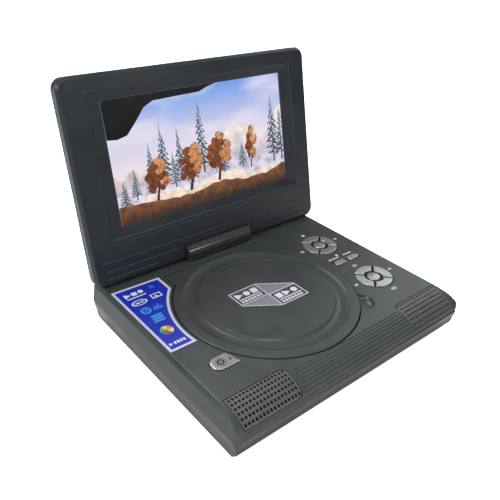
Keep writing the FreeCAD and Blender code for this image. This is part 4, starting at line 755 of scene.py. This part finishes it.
def build_picture():
    """Layers of a snowy landscape, from the sky in layer 0 to the overhang in layer 12."""
    picture_layer("picture_sky", [WHOLE_PICTURE], 0,
                  lit("PictureSky", (240, 228, 238), (120, 166, 236), 0.45, 0.98, 0.05, 14, haze=0.75))
    picture_layer("picture_far_peaks", ridge(2.3, 0.42, 0.34, 0.1, 0.42, 1.0), 2,
                  lit("PictureFarPeaks", (214, 200, 214), (250, 240, 226), 0.3, 0.75, 0.22, 90))
    picture_layer("picture_left_slope", ridge(5.1, 0.34, 0.22, 0.1, 0.0, 0.6), 3,
                  lit("PictureLeftSlope", (196, 178, 196), (252, 236, 214), 0.2, 0.6, 0.25, 110))
    picture_layer("picture_near_slope", ridge(8.4, 0.22, 0.2, 0.05), 4,
                  lit("PictureNearSlope", (226, 218, 230), (188, 186, 214), 0.1, 0.5, 0.3, 160))
    dark, snow = [], []
    for place in PINES:
        boughs, caps = pine(*place)
        dark += boughs
        snow += caps
    picture_layer("picture_pines", dark, 5,
                  lit("PicturePines", (58, 70, 84), (98, 118, 140), 0.1, 0.9, 0.35, 260))
    picture_layer("picture_pine_snow", snow, 6,
                  lit("PicturePineSnow", (206, 210, 226), (232, 236, 248), 0.1, 0.9))
    picture_layer("picture_snow_bank", ridge(3.7, 0.13, 0.12, 0.02), 7,
                  lit("PictureSnowBank", (232, 204, 176), (250, 240, 232), 0.05, 0.25, 0.2, 200))
    stems, shaded, sunlit = [], [], []
    for place in SHRUBS:
        for group, shapes in zip((stems, shaded, sunlit), shrub(*place)):
            group += shapes
    picture_layer("picture_stems", stems, 8,
                  lit("PictureStems", (54, 34, 26), (92, 58, 40), 0.1, 0.5, 0.4, 420))
    picture_layer("picture_shaded_leaves", shaded, 9,
                  lit("PictureShadedLeaves", (92, 46, 26), (146, 88, 54), 0.1, 0.6, 0.5, 420))
    picture_layer("picture_sunlit_leaves", sunlit, 10,
                  lit("PictureSunlitLeaves", (164, 84, 40), (214, 158, 110), 0.1, 0.6, 0.5, 420))
    picture_layer("picture_path", ridge(1.4, 0.1, 0.09, 0.0), 11,
                  lit("PicturePath", (62, 40, 30), (148, 98, 62), 0.0, 0.2, 0.4, 150))
    picture_layer("picture_overhang", [OVERHANG], 12,
                  lit("PictureOverhang", (8, 8, 10), (24, 24, 20), 0.6, 1, 0.4, 60))


# ---------------------------------------------------------------- studio and camera
FLOOR_HALF = 6
FLOOR_GLOW = 0.9
FLOOR_FIBRE = 40
FLOOR_DARK = 0.93
FLOOR_PALE = 0.95
FLOOR_ROUGH = 0.9
FLOOR_SHINE = 0.1
WORLD_LIGHT = 0.42
BACKDROP_LIGHT = 1.0
# Light from the room by the height of its direction: grey up to the first stop, white from the second.
ROOM_LOW = (0.35, (0.30, 0.31, 0.33, 1))
ROOM_HIGH = (0.95, (1, 1, 1, 1))
# Name, place, aim, size in metres and power in watts.
LAMPS = (("left_panel", (-1.15, 0.05, 0.7), (0, 0, 0.03), 0.35, 8.5),
         ("top_rear_panel", (0.05, 0.85, 1.05), (0, 0.0, 0.03), 0.3, 9.0),
         ("right_panel", (1.15, 0.3, 0.8), (0.05, -0.05, 0.03), 0.7, 2.8),
         ("top_front_panel", (-0.22, -0.36, 1.05), (0.03, 0, 0.03), 0.22, 3.0),
         ("front_panel", (0.6, -1.2, 0.8), (0, 0, 0.05), 0.4, 3.5))


def build_floor():
    """Pale paper.  Only the camera sees its glow."""
    mesh = bpy.data.meshes.new("floor")
    bm = bmesh.new()
    bmesh.ops.create_grid(bm, x_segments=2, y_segments=2, size=FLOOR_HALF)
    bm.to_mesh(mesh)
    bm.free()
    floor = bpy.data.objects.new("floor", mesh)
    bpy.context.collection.objects.link(floor)
    paper = Shader("StudioPaper")
    base = paper.between(paper.noise(FLOOR_FIBRE, 3), grey(FLOOR_DARK), grey(FLOOR_PALE))
    paper.link(base, "Color", paper.surface, "Base Color")
    paper.surface.inputs["Roughness"].default_value = FLOOR_ROUGH
    paper.surface.inputs["Emission Color"].default_value = (1, 1, 1, 1)
    seen = paper.add("ShaderNodeLightPath")
    glow = paper.add("ShaderNodeMath", operation="MULTIPLY")
    glow.inputs[1].default_value = FLOOR_GLOW
    paper.link(seen, "Is Camera Ray", glow, 0)
    paper.link(glow, "Value", paper.surface, "Emission Strength")
    paper.surface.inputs["Specular IOR Level"].default_value = FLOOR_SHINE
    mesh.materials.append(paper.material)


def build_world():
    """Soft light from the room, and a white backdrop where the camera looks past the floor."""
    world = bpy.data.worlds.new("studio")
    bpy.context.scene.world = world
    world.use_nodes = True
    tree = world.node_tree
    soft = tree.nodes["Background"]
    soft.inputs["Strength"].default_value = WORLD_LIGHT
    place = tree.nodes.new("ShaderNodeTexCoord")
    split = tree.nodes.new("ShaderNodeSeparateXYZ")
    tree.links.new(place.outputs["Generated"], split.inputs["Vector"])
    room = tree.nodes.new("ShaderNodeValToRGB")
    for element, (spot, colour) in zip(room.color_ramp.elements, (ROOM_LOW, ROOM_HIGH)):
        element.position = spot
        element.color = colour
    tree.links.new(split.outputs["Z"], room.inputs["Fac"])
    tree.links.new(room.outputs["Color"], soft.inputs["Color"])
    backdrop = tree.nodes.new("ShaderNodeBackground")
    backdrop.inputs["Color"].default_value = (1, 1, 1, 1)
    backdrop.inputs["Strength"].default_value = BACKDROP_LIGHT
    path = tree.nodes.new("ShaderNodeLightPath")
    choose = tree.nodes.new("ShaderNodeMixShader")
    tree.links.new(path.outputs["Is Camera Ray"], choose.inputs[0])
    tree.links.new(soft.outputs["Background"], choose.inputs[1])
    tree.links.new(backdrop.outputs["Background"], choose.inputs[2])
    tree.links.new(choose.outputs["Shader"], tree.nodes["World Output"].inputs["Surface"])
    bpy.context.scene.view_settings.view_transform = "Standard"


def build_lamps():
    for name, spot, aim, size, power in LAMPS:
        lamp = bpy.data.lights.new(name, "AREA")
        lamp.size = size
        lamp.energy = power
        holder = bpy.data.objects.new(name, lamp)
        holder.location = spot
        holder.rotation_mode = "QUATERNION"
        holder.rotation_quaternion = (Vector(aim) - Vector(spot)).to_track_quat("-Z", "Y")
        bpy.context.collection.objects.link(holder)


# Place and direction of the camera, in metres and degrees.  The lens and the sensor's width are in mm.
CAMERA_TURN = math.radians(-40.97)
CAMERA_RISE = math.radians(30.45)
CAMERA_ROLL = math.radians(2.95)
CAMERA_SPOT = Vector((-0.2380, -0.2552, 0.2634))
CAMERA_LENS = 41.3
SENSOR_WIDTH = 36
CLIP_START = 0.01


def build_camera():
    back = Vector((math.sin(CAMERA_TURN) * math.cos(CAMERA_RISE),
                   -math.cos(CAMERA_TURN) * math.cos(CAMERA_RISE),
                   math.sin(CAMERA_RISE)))
    level = Vector((math.cos(CAMERA_TURN), math.sin(CAMERA_TURN), 0))
    upright = back.cross(level)
    right = level * math.cos(CAMERA_ROLL) + upright * math.sin(CAMERA_ROLL)
    up = upright * math.cos(CAMERA_ROLL) - level * math.sin(CAMERA_ROLL)
    data = bpy.data.cameras.new("camera")
    data.lens = CAMERA_LENS
    data.sensor_width = SENSOR_WIDTH
    data.clip_start = CLIP_START
    camera = bpy.data.objects.new("camera", data)
    turn = Matrix((right, up, back)).transposed()
    camera.matrix_world = Matrix.Translation(CAMERA_SPOT) @ turn.to_4x4()
    bpy.context.collection.objects.link(camera)
    bpy.context.scene.camera = camera


build_deck_marks()
build_release_mark()
build_badge_print()
build_door_ticks()
build_label_print()
build_picture()
build_floor()
build_world()
build_lamps()
build_camera()
